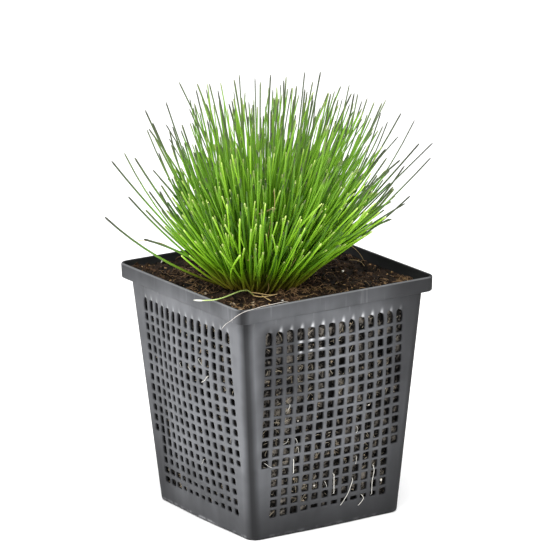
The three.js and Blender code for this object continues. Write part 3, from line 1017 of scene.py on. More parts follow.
def lumps(centres, sizes, seed):
    """Many small irregular lumps: a sphere of three rings of six points, jittered, turned and stretched."""
    maker = np.random.default_rng(seed)
    count = len(centres)
    latitude = np.array([-45, 0, 45])[:, None] * np.pi / 180
    longitude = np.arange(6) * np.pi / 3
    ring = np.stack(np.broadcast_arrays(
        np.cos(latitude) * np.cos(longitude), np.cos(latitude) * np.sin(longitude), np.sin(latitude)
    ), axis=-1).reshape(-1, 3)
    ball = np.concatenate([ring, [[0, 0, -1], [0, 0, 1]]])
    shape = ball[None] * maker.uniform(0.55, 1.25, (count, 20, 1))
    shape *= maker.uniform(0.6, 1.2, (count, 1, 3))
    w, x, y, z = unit(maker.normal(size=(count, 4))).T
    spin = np.stack([
        1 - 2 * (y * y + z * z), 2 * (x * y - w * z), 2 * (x * z + w * y),
        2 * (x * y + w * z), 1 - 2 * (x * x + z * z), 2 * (y * z - w * x),
        2 * (x * z - w * y), 2 * (y * z + w * x), 1 - 2 * (x * x + y * y),
    ], axis=-1).reshape(-1, 3, 3)
    points = np.einsum("nij,nkj->nki", spin, shape) * np.asarray(sizes)[:, None, None] + centres[:, None, :]
    step = (np.arange(count) * 20)[:, None, None]
    return points.reshape(-1, 3), [(faces + step).reshape(-1, faces.shape[1]) for faces in ring_faces(3, 6)]


def scatter_on_soil(pot, soil, count, seed, clear=14 * MM):
    """Points spread evenly over the soil inside the collar, outside a clear circle at the crown."""
    maker = np.random.default_rng(seed)
    half = pot.collar_half - pot.wall - 1.6 * MM
    spots = maker.uniform(-half, half, (count * 2, 2))
    away = np.hypot(spots[:, 0] - CROWN[0], spots[:, 1] - CROWN[1])
    spots = spots[away > clear][:count]
    return np.column_stack([spots, crumbly_height(soil, spots[:, 0], spots[:, 1])])


# Middles of the tufts of straw that lie on the soil, in millimetres along X and Y
STRAW_TUFTS = [
    (-24.7, 27.8), (-29.6, 20.7), (-35, 0.3), (-35, -4.9), (-33.7, 5.6), (-10.5, -24.5), (-8.9, -27.7),
    (-0.4, -21.2), (0.1, -23.7), (-1.6, -28.7), (4.3, -28.7), (6.7, -28.3), (22.8, -29.2), (39.2, -28.1),
    (39.4, -32.5), (8.9, -11), (-10.5, -24.5), (-0.4, -21.2), (30, 12), (20, 34), (-5, 36), (-34.6, -33.3),
]

# Tan chips of bark on the soil near the front corner, in millimetres along X and Y
BARK_CHIPS = [(-35.6, -25.5), (-36.8, -25.7), (-36.4, -32), (-30.5, -31.5), (-27.5, -26.5), (-36.9, -7.1)]

# Places of the white grains on the soil, in millimetres along X and Y
GRAIN_SPOTS = [(-26.7, 41), (-33.9, 30), (26.1, -7.6), (-16.2, -29.8), (8, 33), (33, 26), (22, 38)]

# Places of the white grains in the front wall's holes: u, height and size in millimetres
WALL_GRAINS = [(24.7, 14.8, 0.6), (-7.1, 18.5, 0.4), (16.1, 47.8, 0.4), (-16.4, 46.9, 0.35)]

# Where straw and bits gather behind the front and the left wall: u and height in millimetres
WALL_TUFTS = {
    FRONT: [
        (-21, 52), (-22, 47), (-22, 39), (-31, 44), (-31, 40), (-12, 18), (-7, 18), (-12, 11), (-12, 14),
        (2, 35), (2, 31), (-3, 38), (-7, 31), (-11, 57), (16, 48), (7, 44), (19, 31), (-16, 69), (-26, 64),
        (-21, 64), (-2, 68), (-2, 64), (-3, 73), (20, 65), (16, 61), (23, 57), (3, 56), (-17, 61),
    ],
    LEFT: [
        (6, 73), (11, 73), (17, 83), (26, 69), (26, 64), (26, 78), (-21, 37), (-21, 32), (3, 17), (17, 18),
        (16, 13), (7, 9), (12, 10), (-16, 9), (-11, 10), (15, 76), (13, 65), (24, 59),
    ],
}


def wander(maker, starts, t, turn, curl, shortest, longest):
    """Lines on a plane from their starts, that turn evenly with t. Returns x and y, as (lines, steps)."""
    count = len(starts)
    angle = maker.uniform(0, turn, count)[:, None] + maker.normal(0, curl, count)[:, None] * t
    step = maker.uniform(shortest, longest, count)[:, None] * MM / (len(t) - 1)
    ways = np.cumsum([np.cos(angle), np.sin(angle)], axis=-1) * step
    return starts.T[..., None] + ways


def surface_fibres(pot, soil, count, seed):
    """Straw-like fibres on the soil, most of them in tufts, as paths, radii, sides, across and tone.

    Each turns evenly along its length, lies on the lumps and arches up a little between them.
    """
    maker = np.random.default_rng(seed)
    tufts = np.array(STRAW_TUFTS)[maker.integers(0, len(STRAW_TUFTS), count)] * MM
    tufts += maker.normal(0, 3.0, (count, 2)) * MM
    half = pot.collar_half - pot.wall - 0.6 * MM
    loose = maker.uniform(-half, half, (count, 2))
    starts = np.where((maker.random(count) < 0.68)[:, None], tufts, loose)
    t = np.linspace(0, 1, 7)
    x, y = (np.clip(line, -half, half) for line in wander(maker, starts, t, 2 * np.pi, 1.4, 1.5, 6.5))
    arch = maker.uniform(0, 1.3, count)[:, None] * MM * np.sin(np.pi * t)
    paths = np.stack([x, y, crumbly_height(soil, x, y) + 0.15 * MM + arch], axis=-1)
    radii = maker.uniform(0.06, 0.15, count)[:, None] * MM * (1 - 0.4 * t)
    return paths, radii, 4, np.tile([0.0, 0.0, 1.0], (count, 1)), maker.random(count)


def wall_spots(count, maker, spread):
    """Sides and places behind the walls, as u and height: most lie about the tufts, the rest anywhere."""
    sides = np.arange(count) % 4
    spots = np.empty((count, 2))
    for side in range(4):
        own = sides == side
        chance = np.column_stack([maker.uniform(-28, 28, 24), maker.uniform(8, 86, 24)])
        centres = np.array(WALL_TUFTS.get(side, chance), float)
        spots[own] = centres[maker.integers(0, len(centres), own.sum())]
    spots += maker.normal(0, spread, (count, 2))
    lone = maker.random(count) < 0.45
    spots[lone] = np.column_stack([maker.uniform(-31, 31, lone.sum()), maker.uniform(7, 87, lone.sum())])
    return sides, spots * MM


def on_walls(pot, u, z, depth, sides):
    """Points in the walls, each turned to its own side. The first axis of u and z follows sides."""
    limit = wall_half(pot, z) - pot.corner
    points = wall_point(pot, np.clip(u, -limit, limit), z, depth, sides.reshape(-1, *[1] * (np.ndim(u) - 1)))
    for side in range(1, 4):
        points[sides == side] = side_turn(points[sides == side], side)
    return points


def wall_fibres(pot, count, seed):
    """Root bits and straw pressed against the inside of the walls, as surface_fibres gives them."""
    maker = np.random.default_rng(seed)
    t = np.linspace(0, 1, 6)
    sides, spots = wall_spots(count, maker, 1.7)
    u, z = wander(maker, spots, t, np.pi, 0.9, 1.2, 5)
    depth = pot.wall + maker.uniform(-0.1, 0.5, count)[:, None] * MM + 0 * t
    paths = on_walls(pot, u, np.clip(z, 4 * MM, 88 * MM), depth, sides)
    radii = maker.uniform(0.06, 0.16, count)[:, None] * MM * (1 - 0.5 * t)
    return paths, radii, 4, OUTWARD[sides], maker.random(count)


class OBJECT_OT_potting_soil(bpy.types.Operator):
    """Builds the soil in the pot."""

    bl_idname = "potted_grass.potting_soil"
    bl_label = "Potting soil"

    def execute(self, context):
        pot, soil = context.scene.grass_pot, context.scene.grass_soil
        make_piece("potting_soil", *soil_block(pot, soil), soil_material(soil), "potting_soil", ["soil"])
        return {"FINISHED"}


class OBJECT_OT_soil_litter(bpy.types.Operator):
    """Scatters crumbs, straw fibres and white grains over the soil and behind the walls."""

    bl_idname = "potted_grass.soil_litter"
    bl_label = "Soil litter"

    def execute(self, context):
        pot, soil = context.scene.grass_pot, context.scene.grass_soil
        maker = np.random.default_rng(11)
        for name, share, seed, material in (
            ("dark_crumbs", 0.68, 12, soil_material(soil, "dark crumb")),
            ("brown_crumbs", 0.32, 13, soil_material(soil, "brown crumb", 3.2)),
        ):
            spots = scatter_on_soil(pot, soil, int(soil.crumbs * share), seed)
            sizes = (0.3 + 0.9 * maker.random(len(spots)) ** 2.5) * MM
            make_piece(name, *lumps(spots, sizes, seed), material, "potting_soil", smooth=False)

        grains = np.array(GRAIN_SPOTS) * MM
        wall_u, wall_z, wall_size = np.array(WALL_GRAINS).T * MM
        spots = np.concatenate([
            np.column_stack([grains, crumbly_height(soil, *grains.T) + 0.2 * MM]),
            wall_point(pot, wall_u, wall_z, pot.wall / 2),
        ])
        sizes = np.concatenate([maker.uniform(0.35, 0.6, len(grains)) * MM, wall_size])
        chalky = crumbly_material(
            "white grain", (0.8, 0.78, 0.72), 0.85, (0.85, 0.83, 0.78), (0.45, 0.40, 0.32), 2.0, 0.5
        )
        make_piece("white_grains", *lumps(spots, sizes, 15), chalky, "potting_soil", smooth=False)

        straw = strand_material("straw", (0.34, 0.20, 0.085), (0.12, 0.06, 0.024))
        make_tubes("straw_fibres", straw, "potting_soil", *surface_fibres(pot, soil, soil.fibres, 16))
        pale = strand_material("pale root", (0.66, 0.58, 0.44), (0.30, 0.23, 0.14))
        make_tubes("wall_roots", pale, "potting_soil", *wall_fibres(pot, soil.wall_fibres, 17))

        sides, spots = wall_spots(soil.wall_fibres // 3, maker, 2.0)
        chips = np.array(BARK_CHIPS) * MM
        sizes = np.concatenate([maker.uniform(0.22, 0.5, len(spots)), np.full(len(chips), 0.75)]) * MM
        spots = np.concatenate([
            on_walls(pot, *spots.T, pot.wall + 0.1 * MM, sides),
            np.column_stack([chips, crumbly_height(soil, *chips.T) + 0.3 * MM]),
        ])
        dark, tan = (0.03, 0.02, 0.012), (0.46, 0.36, 0.24)
        bark = clouded_material("bark bit", (0.24, 0.14, 0.07), 0.85, dark, tan, (420, 1), 0.36, 0.66)
        make_piece("bark_bits", *lumps(spots, sizes, 18), bark, "potting_soil", smooth=False)
        return {"FINISHED"}


# Grass

# The leaves that draw the tuft's outline: the tip's sideways place and rise from the clump's foot in
# the front view, in millimetres, and the tip's lean in degrees, all positive to the right
OUTLINE_LEAVES = [
    (-59, 27, -45), (-56, 49, -38), (-51, 52, -26), (-50, 35, -41), (-48, 51, -29), (-44, 18, -75),
    (-44, 30, -40), (-43, 62, -19), (-43, 69, -23), (-42, 37, -35), (-42, 62, -36), (-41, 46, -41),
    (-41, 65, -20), (-40, 59, -25), (-38, 30, -35), (-38, 37, -26), (-38, 52, -20), (-37, 39, -32),
    (-35, 63, -31), (-35, 72, -17), (-34, 61, -6), (-33, 55, -18), (-33, 63, -17), (-30, 80, -26),
    (-29, 63, -17), (-26, 69, -24), (-25, 51, -35), (-24, 54, -12), (-24, 58, -18), (-24, 71, -7),
    (-24, 78, -11), (-23, 79, -21), (-20, 72, -20), (-20, 78, -11), (-18, 78, -15), (-17, 72, -18),
    (-15, 75, -12), (-15, 76, -10), (-11, 71, -16), (-10, 73, -10), (-9, 81, -9), (-7, 83, 11),
    (-6, 73, -1), (-5, 73, -11), (-4, 61, -3), (-2, 72, -7), (-1, 82, 0), (1, 67, -3), (1, 81, -5),
    (2, 67, -13), (4, 67, -10), (5, 69, -5), (5, 83, -5), (5, 83, 8), (8, 72, 9), (10, 80, 0),
    (11, 82, -6), (13, 76, 13), (14, 73, -5), (15, 79, -5), (18, 76, 4), (18, 83, 5), (19, 76, 7),
    (21, 74, 9), (21, 79, 13), (22, 66, 12), (22, 72, 5), (24, 83, -1), (27, 75, 24), (27, 76, 8),
    (28, 75, 9), (30, 65, 8), (30, 74, 19), (31, 73, 14), (34, 73, 9), (35, 78, 11), (36, 75, 26),
    (37, 75, 9), (38, 74, 4), (40, 65, 38), (40, 72, 17), (42, 73, 17), (43, 36, 39), (45, 42, 36),
    (45, 72, 21), (47, 67, 2), (47, 70, 24), (48, 62, 24), (49, 49, 35), (49, 53, 41), (49, 72, 26),
    (50, 64, 18), (51, 25, 72), (51, 32, 63), (52, 37, 39), (52, 38, 40), (54, 48, 51), (54, 58, 42),
    (55, 67, 28), (56, 31, 61), (56, 46, 34), (58, 34, 48), (60, 64, 26), (62, 55, 41), (66, 49, 43),
    (67, 55, 46),
]

# Fresh leaves that stand out in front: the tip's sideways place, its rise in the front view and the
# foot's sideways place, in millimetres from the middle of the clump's foot
FRONT_LEAVES = [
    (-15, 37, -9), (-14, 46, -5), (-10, 49, 5), (9, 38, 5), (6, 36, 10), (3, 26, 6), (0, 24, 6),
    (-2, 21, 1), (10, 30, 5), (14, 30, 5), (12, 19, 8), (15, 17, 12), (20, 18, 11), (21, 12, 11),
    (-1, 12, 4), (-6, 16, 1), (-19, 14, -6), (-13, 14, -4), (-10, 7, -1), (-27, 15, -5), (-30, 11, -11),
    (-14, 21, -5), (5, 10, 5), (8, 17, 6), (14, 22, 11), (-12, 27, -6), (-22, 19, -8), (34, 34, 11),
    (27, 34, 10), (34, 19, 11), (30, 16, 11), (28, 17, 11), (-20, 32, -10), (-27, 11, -9), (4, 48, 2),
    (-3, 52, -1), (16, 41, 9), (20, 36, 10), (-8, 34, -3), (1, 36, 2), (18, 26, 11), (-17, 26, -7),
]


# How far along a leaf each of its rings lies: even steps, and a last short one for the blunt tip
LEAF_SHARE = np.append(np.linspace(0, 0.985, 10), 1)

# How far the leaves' feet stand in the soil
LEAF_SINK = np.array([0, 0, 1.2]) * MM


def leaf_paths(feet, tips, bend, sway):
    """Leaves from their feet to their tips along part of a circle, as (leaves, steps, 3), and their across.

    With a chord of length c and a bend of b between the end directions, the circle's radius is
    c / (2 sin(b / 2)), and the direction turns evenly from the chord's lean minus b / 2 to plus b / 2.
    A bend of almost nothing counts as 0.02. A sway adds a sideways half sine wave.
    """
    bend = np.where(np.abs(bend) < 0.02, 0.02, bend)
    chord = tips - feet
    flat = np.linalg.norm(chord[:, :2], axis=1)
    out = unit(chord * [1, 1, 0])
    across = np.column_stack([-out[:, 1], out[:, 0], np.zeros(len(chord))])
    start = np.arctan2(flat, chord[:, 2]) - bend / 2
    radius = np.linalg.norm(chord, axis=1) / (2 * np.sin(bend / 2))
    angle = start[:, None] + bend[:, None] * LEAF_SHARE
    reach = radius[:, None] * (np.cos(start)[:, None] - np.cos(angle))
    rise = radius[:, None] * (np.sin(angle) - np.sin(start)[:, None])
    swing = sway[:, None] * np.sin(np.pi * LEAF_SHARE)
    paths = feet[:, None, :] + out[:, None, :] * reach[..., None] + across[:, None, :] * swing[..., None]
    paths[..., 2] += rise
    return paths, across


def leaf_radii(width, thin, maker):
    """Each leaf's radius along its length: it loses the share thin evenly, and its tip 0.4 of the rest."""
    taper = (1 - thin * LEAF_SHARE) * np.where(LEAF_SHARE == 1, 0.6, 1)
    return width[:, None] / 2 * taper * maker.uniform(0.75, 1.15, (len(width), 1))


def view_axes(stage):
    """Unit vectors on the floor: to the right in the front view, and away from it."""
    across, along = np.cos(stage.azimuth), np.sin(stage.azimuth)
    return np.array([across, along, 0]), np.array([-along, across, 0])


def clump_leaves(stage, grass, seed=21):
    """Feet, tips, bend, sway and tone of the clump's leaves, in sunflower order from the middle outwards.

    The leans are spread evenly over a cap of the sphere, the headings follow the golden angle, and both
    wander, so that leaves cross. The tips stay within a rounded box: the reach r at a lean a is
    ((sin a / side)^4 + (cos a / height)^4)^(-1/4), and the side is longer to the right in the front
    view. Lengths are spread evenly from the whole reach down to 0.36 of it.
    """
    maker = np.random.default_rng(seed)
    count = grass.leaves
    share = (np.arange(count) + 0.5) / count
    heading = np.arange(count) * np.pi * (3 - np.sqrt(5)) + maker.normal(0, 0.2, count)
    lean = np.arccos(1 - share**0.92 * (1 - np.cos(grass.widest))) + np.radians(maker.normal(0, 6, count))
    lean = np.clip(np.abs(lean), 0.01, grass.widest + np.radians(4))
    right, _ = view_axes(stage)
    out = np.column_stack([np.cos(heading), np.sin(heading), np.zeros(count)])
    direction = unit(out * np.sin(lean)[:, None] + np.outer(np.cos(lean), [0, 0, 1]) + 0.09 * right)
    flat = np.linalg.norm(direction[:, :2], axis=1)
    side = grass.side + grass.offset * (direction @ right) / np.maximum(flat, 1e-6)
    reach = ((flat / side) ** 4 + (direction[:, 2] / grass.reach) ** 4) ** -0.25
    short = maker.random(count) ** 0.88
    tips = CLUMP_FOOT + direction * (reach * (1 - 0.64 * short))[:, None]
    stray = maker.normal(0, 0.13, (count, 3)) * [1, 1, 0]
    feet = CLUMP_FOOT - LEAF_SINK + (out * (np.sqrt(share) * 0.9)[:, None] + stray) * grass.root_radius
    bend = np.radians(maker.normal(-3, 9, count))
    sway = maker.normal(0, 1.3, count) * MM
    # Painted shade: leaves deep in the clump, more of them towards its middle, take the darkest tones.
    hidden = maker.random(count) < 0.32 + 0.55 * (1 - share)
    tone = np.where(hidden, maker.uniform(0.62, 1, count), maker.uniform(0, 0.3, count))
    high = smoothstep(tips[:, 2] - CLUMP_FOOT[2], 0.3 * grass.reach, 0.85 * grass.reach)
    tone = np.where(maker.random(count) < high, maker.uniform(0.28, 0.56, count), tone)
    return feet, tips, bend, sway, tone


def blade_tips():
    """The tips of the solid model's outer blades: their boxes' upper corners that are furthest out."""
    boxes = np.array([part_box(name) for name in OUTER_BLADES])
    tips = np.where(boxes.mean(axis=1) > CLUMP_FOOT, boxes[:, 1], boxes[:, 0])
    tips[:, 2] = boxes[:, 1, 2]
    return tips


def outline_leaves(stage, grass, seed=22):
    """The leaves that draw the outline, as clump_leaves gives them.

    Their tips stand in front of and behind the clump's middle as on a ball, and are raised or lowered so
    that their places in the front view stay. The bend is twice the tip's lean less the chord's. Behind
    the clump, hidden in the front view, they are the solid model's own blades.
    """
    maker = np.random.default_rng(seed)
    right, away = view_axes(stage)
    sideways, rise, tip_lean = np.array(OUTLINE_LEAVES, float).T
    ball = np.sqrt(np.clip(1 - (sideways / 70) ** 2, 0.04, 1))
    depth = np.clip(maker.normal(0, 17, len(rise)), -32, 32) * ball
    tips = CLUMP_FOOT + (sideways[:, None] * right + depth[:, None] * away) * MM
    tips[:, 2] += (rise - depth * np.tan(stage.elevation)) * MM
    behind = blade_tips()
    reach = behind - CLUMP_FOOT
    behind = behind[(reach @ away > 20 * MM) & (np.abs(reach @ right) < 40 * MM)]
    tips = np.concatenate([tips, behind])
    chord = tips - CLUMP_FOOT
    lean = np.arctan2(np.hypot(chord[:, 0], chord[:, 1]), chord[:, 2])
    foot = unit(chord * [1, 1, 0]) * (grass.root_radius * np.clip(lean / 0.9, 0.15, 0.9))[:, None]
    chord_lean = np.degrees(np.arctan2(sideways - foot[: len(rise)] @ right / MM, rise))
    bend = np.radians(np.clip(2 * (np.abs(tip_lean) - np.abs(chord_lean)), -26, 34))
    bend = np.where(np.sign(tip_lean) * np.sign(chord_lean) < 0, -0.12, bend)
    tone = 0.44 + 0.34 * smoothstep(np.abs(sideways), 50, 66) + maker.uniform(0, 0.1, len(rise))
    sway = maker.normal(0, 0.5, len(rise)) * MM
    shape = (
        np.append(drawn, np.full(len(behind), value))
        for drawn, value in ((bend, 0.15), (sway, 0), (tone, 0.5))
    )
    return CLUMP_FOOT + foot - LEAF_SINK, tips, *shape


def front_leaves(stage, grass, seed=24):
    """The fresh leaves in front, as clump_leaves gives them.

    A tip that stands higher also stands further out to the front, 11 mm plus a third of its rise.
    """
    maker = np.random.default_rng(seed)
    right, away = view_axes(stage)
    sideways, rise, foot_side = np.array(FRONT_LEAVES, float).T
    towards = 11 + 0.33 * rise
    up = (rise + towards * np.sin(stage.elevation)) / np.cos(stage.elevation)
    tips = CLUMP_FOOT + (sideways[:, None] * right - towards[:, None] * away) * MM
    tips[:, 2] += up * MM
    foot_front = np.sqrt(np.maximum((grass.root_radius / MM) ** 2 - foot_side**2, 4))
    feet = CLUMP_FOOT - LEAF_SINK + (foot_side[:, None] * right - foot_front[:, None] * away) * MM
    bend = np.radians(maker.normal(-2, 8, len(rise)))
    return feet, tips, bend, maker.normal(0, 0.6, len(rise)) * MM, maker.uniform(0.02, 0.16, len(rise))


class OBJECT_OT_grass_leaves(bpy.types.Operator):
    """Grows the clump's leaves and the leaves that stand clear around it."""

    bl_idname = "potted_grass.grass_leaves"
    bl_label = "Grass leaves"

    def execute(self, context):
        grass, stage = context.scene.grass_leaves, context.scene.grass_stage
        # The green leaves' last colours are near-black greens, painted shade for the leaves deep in the
        # clump.
        green = leaf_material(grass, "grass leaf", 0.06, [
            (0.0, (0.007, 0.024, 0.001)), (1.0, (0.035, 0.11, 0.003)),
        ])
        greyed = leaf_material(grass, "outer grass leaf", 0.38, [
            (0.0, (0.10, 0.20, 0.01)), (0.4, (0.09, 0.16, 0.03)), (0.65, (0.060, 0.075, 0.040)),
            (1.0, (0.05, 0.045, 0.045)),
        ])
        maker = np.random.default_rng(23)
        for name, leaves, widen, thin, material, nodes in (
            ("clump_leaves", clump_leaves(stage, grass), 1.0, 0.24, green, ["grass_tuft"]),
            ("outline_leaves", outline_leaves(stage, grass), 1.05, 0.16, greyed, OUTER_BLADES),
            ("front_leaves", front_leaves(stage, grass), 1.0, 0.3, green, []),
        ):
            *shape, tone = leaves
            paths, across = leaf_paths(*shape)
            length = np.linalg.norm(paths[:, -1] - paths[:, 0], axis=1)
            width = grass.width * widen * (0.93 - 0.29 * smoothstep(length, 30 * MM, 80 * MM))
            radii = leaf_radii(width, thin, maker)
            make_tubes(name, material, "grass", paths, radii, 5, across, tone, nodes, LEAF_SHARE)
        return {"FINISHED"}


class OBJECT_OT_flower_heads(bpy.types.Operator):
    """Sets a tiny pale flower head on some of the leaf tips."""

    bl_idname = "potted_grass.flower_heads"
    bl_label = "Flower heads"

    def execute(self, context):
        grass, stage = context.scene.grass_leaves, context.scene.grass_stage
        maker = np.random.default_rng(31)
        tips = clump_leaves(stage, grass)[1]
        rise = tips[:, 2] - CLUMP_FOOT[2]
        chosen = np.argsort(np.abs(rise - 42 * MM) + maker.uniform(0, 22, len(tips)) * MM)[: grass.heads]
        sizes = maker.uniform(0.28, 0.38, len(chosen)) * MM
        pale = crumbly_material(
            "flower head", (0.62, 0.70, 0.24), 0.7, (0.42, 0.56, 0.10), (0.70, 0.80, 0.34), 3.0
        )
        make_piece("flower_heads", *lumps(tips[chosen], sizes, 32), pale, "grass")
        return {"FINISHED"}


# Strays

# The way of the fallen leaf over the soil and the collar, as the solid model has it
FALLEN_WAY = np.array([
    [-22.8, -19.9, 93.2], [-24.6, -18.4, 95.0], [-28.4, -19.7, 95.8], [-33.4, -22.8, 96.4],
    [-40.2, -26.9, 96.9], [-45.2, -28.3, 97.0], [-47.2, -25.5, 96.4], [-48.2, -21.6, 95.6],
    [-48.8, -17.8, 95.0],
]) * MM

# White roots that came through the holes, as points along the wall: u and height in millimetres
FRONT_ROOTS = [
    [(-17.8, 31.6), (-17.6, 28.5), (-17.4, 25.4)],
    [(20, 22), (20.4, 19.3), (19.8, 15.2), (20, 9.3)],
    [(10.5, 18.5), (9.2, 14.6), (8, 11.9), (4.9, 7.7)],
    [(1.1, 22.2), (1.4, 18), (1.7, 13.4)],
    [(11.4, 27.5), (11.3, 25.8), (11.1, 24.2)],
    [(10.5, 40.1), (10.9, 38.7), (10.3, 37.4)],
    [(15, 10.8), (16, 9.1), (15.1, 7.7), (13.6, 6.3)],
    [(-29.9, 31.5), (-28.4, 30.2), (-26.8, 29.3)],
    [(-17.4, 40), (-16.8, 38.8), (-16.7, 37.8)],
    [(-16.3, 36.3), (-15.9, 34.9), (-15.7, 33.8)],
    [(-2.7, 19.4), (-2.1, 17.9), (-1.8, 17)],
    [(-20.6, 54.4), (-21, 53.1), (-21.6, 51.8)],
    [(-20.5, 40.4), (-21.3, 38.9), (-22.7, 38.4)],
]
LEFT_ROOTS = [
    [(10.9, 69.2), (12, 68.4), (13.5, 67)],
    [(3.6, 64.3), (4.7, 63.7), (6.1, 62.9)],
    [(16.5, 63.4), (14.7, 61.4), (12.3, 60)],
    [(-2.6, 64.5), (-1.9, 63.8), (-1.4, 62.9)],
    [(26.9, 40.3), (26.5, 39.3), (26.3, 38.3)],
    [(7, 27.1), (6.2, 25.8), (5.2, 24.7)],
]

# The thin root that runs over the front corner of the collar and hangs down the left wall
RIM_ROOT = np.array([
    [-18, -40.5, 93.4], [-23, -43.6, 95.8], [-27.5, -44.6, 96.4], [-35.7, -44.8, 96.4],
    [-40.5, -45.1, 96.1], [-44.0, -45.0, 95.3], [-45.4, -42.8, 93.8], [-45.4, -40.3, 92.2],
    [-45.0, -35.7, 89.2], [-44.2, -30.6, 86.0],
]) * MM

# Dry tan strands by the fallen leaf's foot, on the soil
TAN_STRANDS = [
    [(-23.7, -19.4, 94.4), (-22.8, -22.2, 94.6), (-20.4, -25.9, 94.4), (-16.7, -26.7, 94.0)],
    [(-25.1, -22.9, 94.2), (-24.0, -26.6, 94.3), (-20.9, -27.5, 94.4), (-16.2, -26.3, 94.2)],
    [(-22.5, -25.1, 94.2), (-23.4, -30.6, 94.2), (-23.3, -32.9, 94.0)],
]

# Thin loose roots on the soil along the +X wall
LOOSE_ROOTS = [
    [(43.2, 12.0, 95.8), (43.2, 8.6, 95.0), (42.7, 5.0, 94.0), (42.0, 1.7, 92.6)],
    [(37.8, 5.5, 92.4), (38.6, 2.5, 92.9), (38.8, -1.4, 92.9), (38.0, -4.9, 92.2)],
]

# Dry leaves that stand in the clump, from low to high
DRY_LEAVES = [
    [(-27.5, -23.1, 108.5), (-25.5, -24.3, 109.8), (-23.8, -25.4, 111.3), (-21.8, -26.7, 116.2)],
    [(-16.6, -18, 92.5), (-17.6, -22.2, 96.0), (-19.0, -22.4, 103.7), (-20.6, -21.3, 109.7)],
    [(-25.9, -28.8, 127.7), (-23.8, -30.1, 128.5), (-21.7, -31.5, 129.7)],
    [(-20, -24, 112), (-20.6, -29, 124), (-20.7, -32.1, 131.3), (-20.9, -32.0, 136.9)],
    [(-15, -20, 97), (-13.8, -26.0, 101.7), (-11.2, -28.7, 105.3), (-9.5, -29.8, 108.6)],
    [(-18, 4, 94), (-31, 9, 105), (-35, 8, 111.5), (-39.5, 10.9, 114.3)],
    [(-14, 12, 93), (-28, 20, 101), (-36.7, 25.8, 106.3), (-44, 31, 107.3)],
    [(4, -10, 93), (14, -20, 108), (19, -24, 118), (22, -24, 121)],
]


def wall_root_paths(pot, roots, side, steps=14):
    """White roots as smooth paths just outside a wall, which dip into it at both ends."""
    t = np.linspace(0, 1, steps)
    paths = []
    for points in roots:
        line = smooth_path(np.array([(u, z, 0) for u, z in points]) * MM, steps)
        out = 0.3 * MM - 0.8 * MM * np.abs(2 * t - 1) ** 14
        paths.append(side_turn(wall_point(pot, line[:, 0], line[:, 1], -out, side), side))
    return np.array(paths)


class OBJECT_OT_stray_strands(bpy.types.Operator):
    """Lays the fallen leaf over the collar, the root over its corner and the roots through the walls."""

    bl_idname = "potted_grass.stray_strands"
    bl_label = "Stray strands"

    def execute(self, context):
        pot = context.scene.grass_pot
        t = np.linspace(0, 1, 48)
        up, plain = np.array([[0.0, 0.0, 1.0]]), np.zeros(1)
        swollen = smoothstep(t, 0.8, 0.87) * (1 - smoothstep(t, 0.93, 1))
        radii = MM * (0.27 - 0.05 * t + 0.08 * swollen)[None]
        radii[0, -3:] *= [0.85, 0.6, 0.3]
        pale = strand_material("fallen leaf", (0.30, 0.34, 0.06), (0.46, 0.60, 0.20), 0.5, (0.92, 0.92, 0.85))
        fallen = smooth_path(FALLEN_WAY, len(t))[None]
        make_tubes("fallen_leaf", pale, "pale_leaf", fallen, radii, 8, up, plain, ["fallen_blade"])

        rim = smooth_path(RIM_ROOT, 60)
        rim += np.stack([rumple(*rim.T, seed, 2, 2.5 * MM) for seed in (5, 6, 7)], axis=-1) * 0.42 * MM
        dull = strand_material("rim root", (0.62, 0.56, 0.50), (0.72, 0.68, 0.64), 0.7)
        radii = np.full((1, len(rim)), 0.09 * MM)
        make_tubes("rim_root", dull, "pale_leaf", rim[None], radii, 6, up, plain)

        tan = strand_material("dry strand", (0.50, 0.34, 0.12), (0.60, 0.42, 0.20))
        ways = TAN_STRANDS + LOOSE_ROOTS + DRY_LEAVES
        paths = np.array([smooth_path(np.array(way) * MM, 16) for way in ways])
        kinds = np.repeat([0, 1, 2], [len(TAN_STRANDS), len(LOOSE_ROOTS), len(DRY_LEAVES)])
        thick = np.array([0.2, 0.09, 0.17])[kinds] * MM
        radii = thick[:, None] * (1 - 0.3 * np.linspace(0, 1, paths.shape[1]))
        sideways = np.tile([0.3, 0.2, 1.0], (len(paths), 1))
        tone = np.array([0, 1, 0.3])[kinds]
        make_tubes("dry_strands", tan, "pale_leaf", paths, radii, 6, sideways, tone)

        white = strand_material("white root", (0.82, 0.80, 0.72), (0.86, 0.84, 0.78), 0.6)
        paths = np.concatenate([
            wall_root_paths(pot, FRONT_ROOTS, FRONT), wall_root_paths(pot, LEFT_ROOTS, LEFT)
        ])
        normals = OUTWARD[[FRONT] * len(FRONT_ROOTS) + [LEFT] * len(LEFT_ROOTS)]
        length = np.linalg.norm(paths[:, -1] - paths[:, 0], axis=1)
        thick = (0.08 + 0.07 * smoothstep(length, 2.6 * MM, 6 * MM)) * MM
        radii = thick[:, None] * (1 - 0.25 * np.linspace(0, 1, paths.shape[1]))
        tone = np.linspace(0, 1, len(paths)) * 7.31 % 1
        make_tubes("white_roots", white, "pale_leaf", paths, radii, 6, normals, tone)
        return {"FINISHED"}


# Stage


def compass(turn, rise):
    """The unit vector at a turn about +Z from the front wall's outward direction, and at a rise."""
    return Vector((np.sin(turn) * np.cos(rise), -np.cos(turn) * np.cos(rise), np.sin(rise)))


def add_area_light(name, place, aim, size, power):
    """A square area light at a place, turned to face the aim."""
    light = bpy.data.lights.new(name, "AREA")
    light.size, light.energy = size, power
    lamp = bpy.data.objects.new(name, light)
    bpy.context.scene.collection.objects.link(lamp)
    lamp.location = place
    lamp.rotation_euler = (aim - place).to_track_quat("-Z", "Y").to_euler()


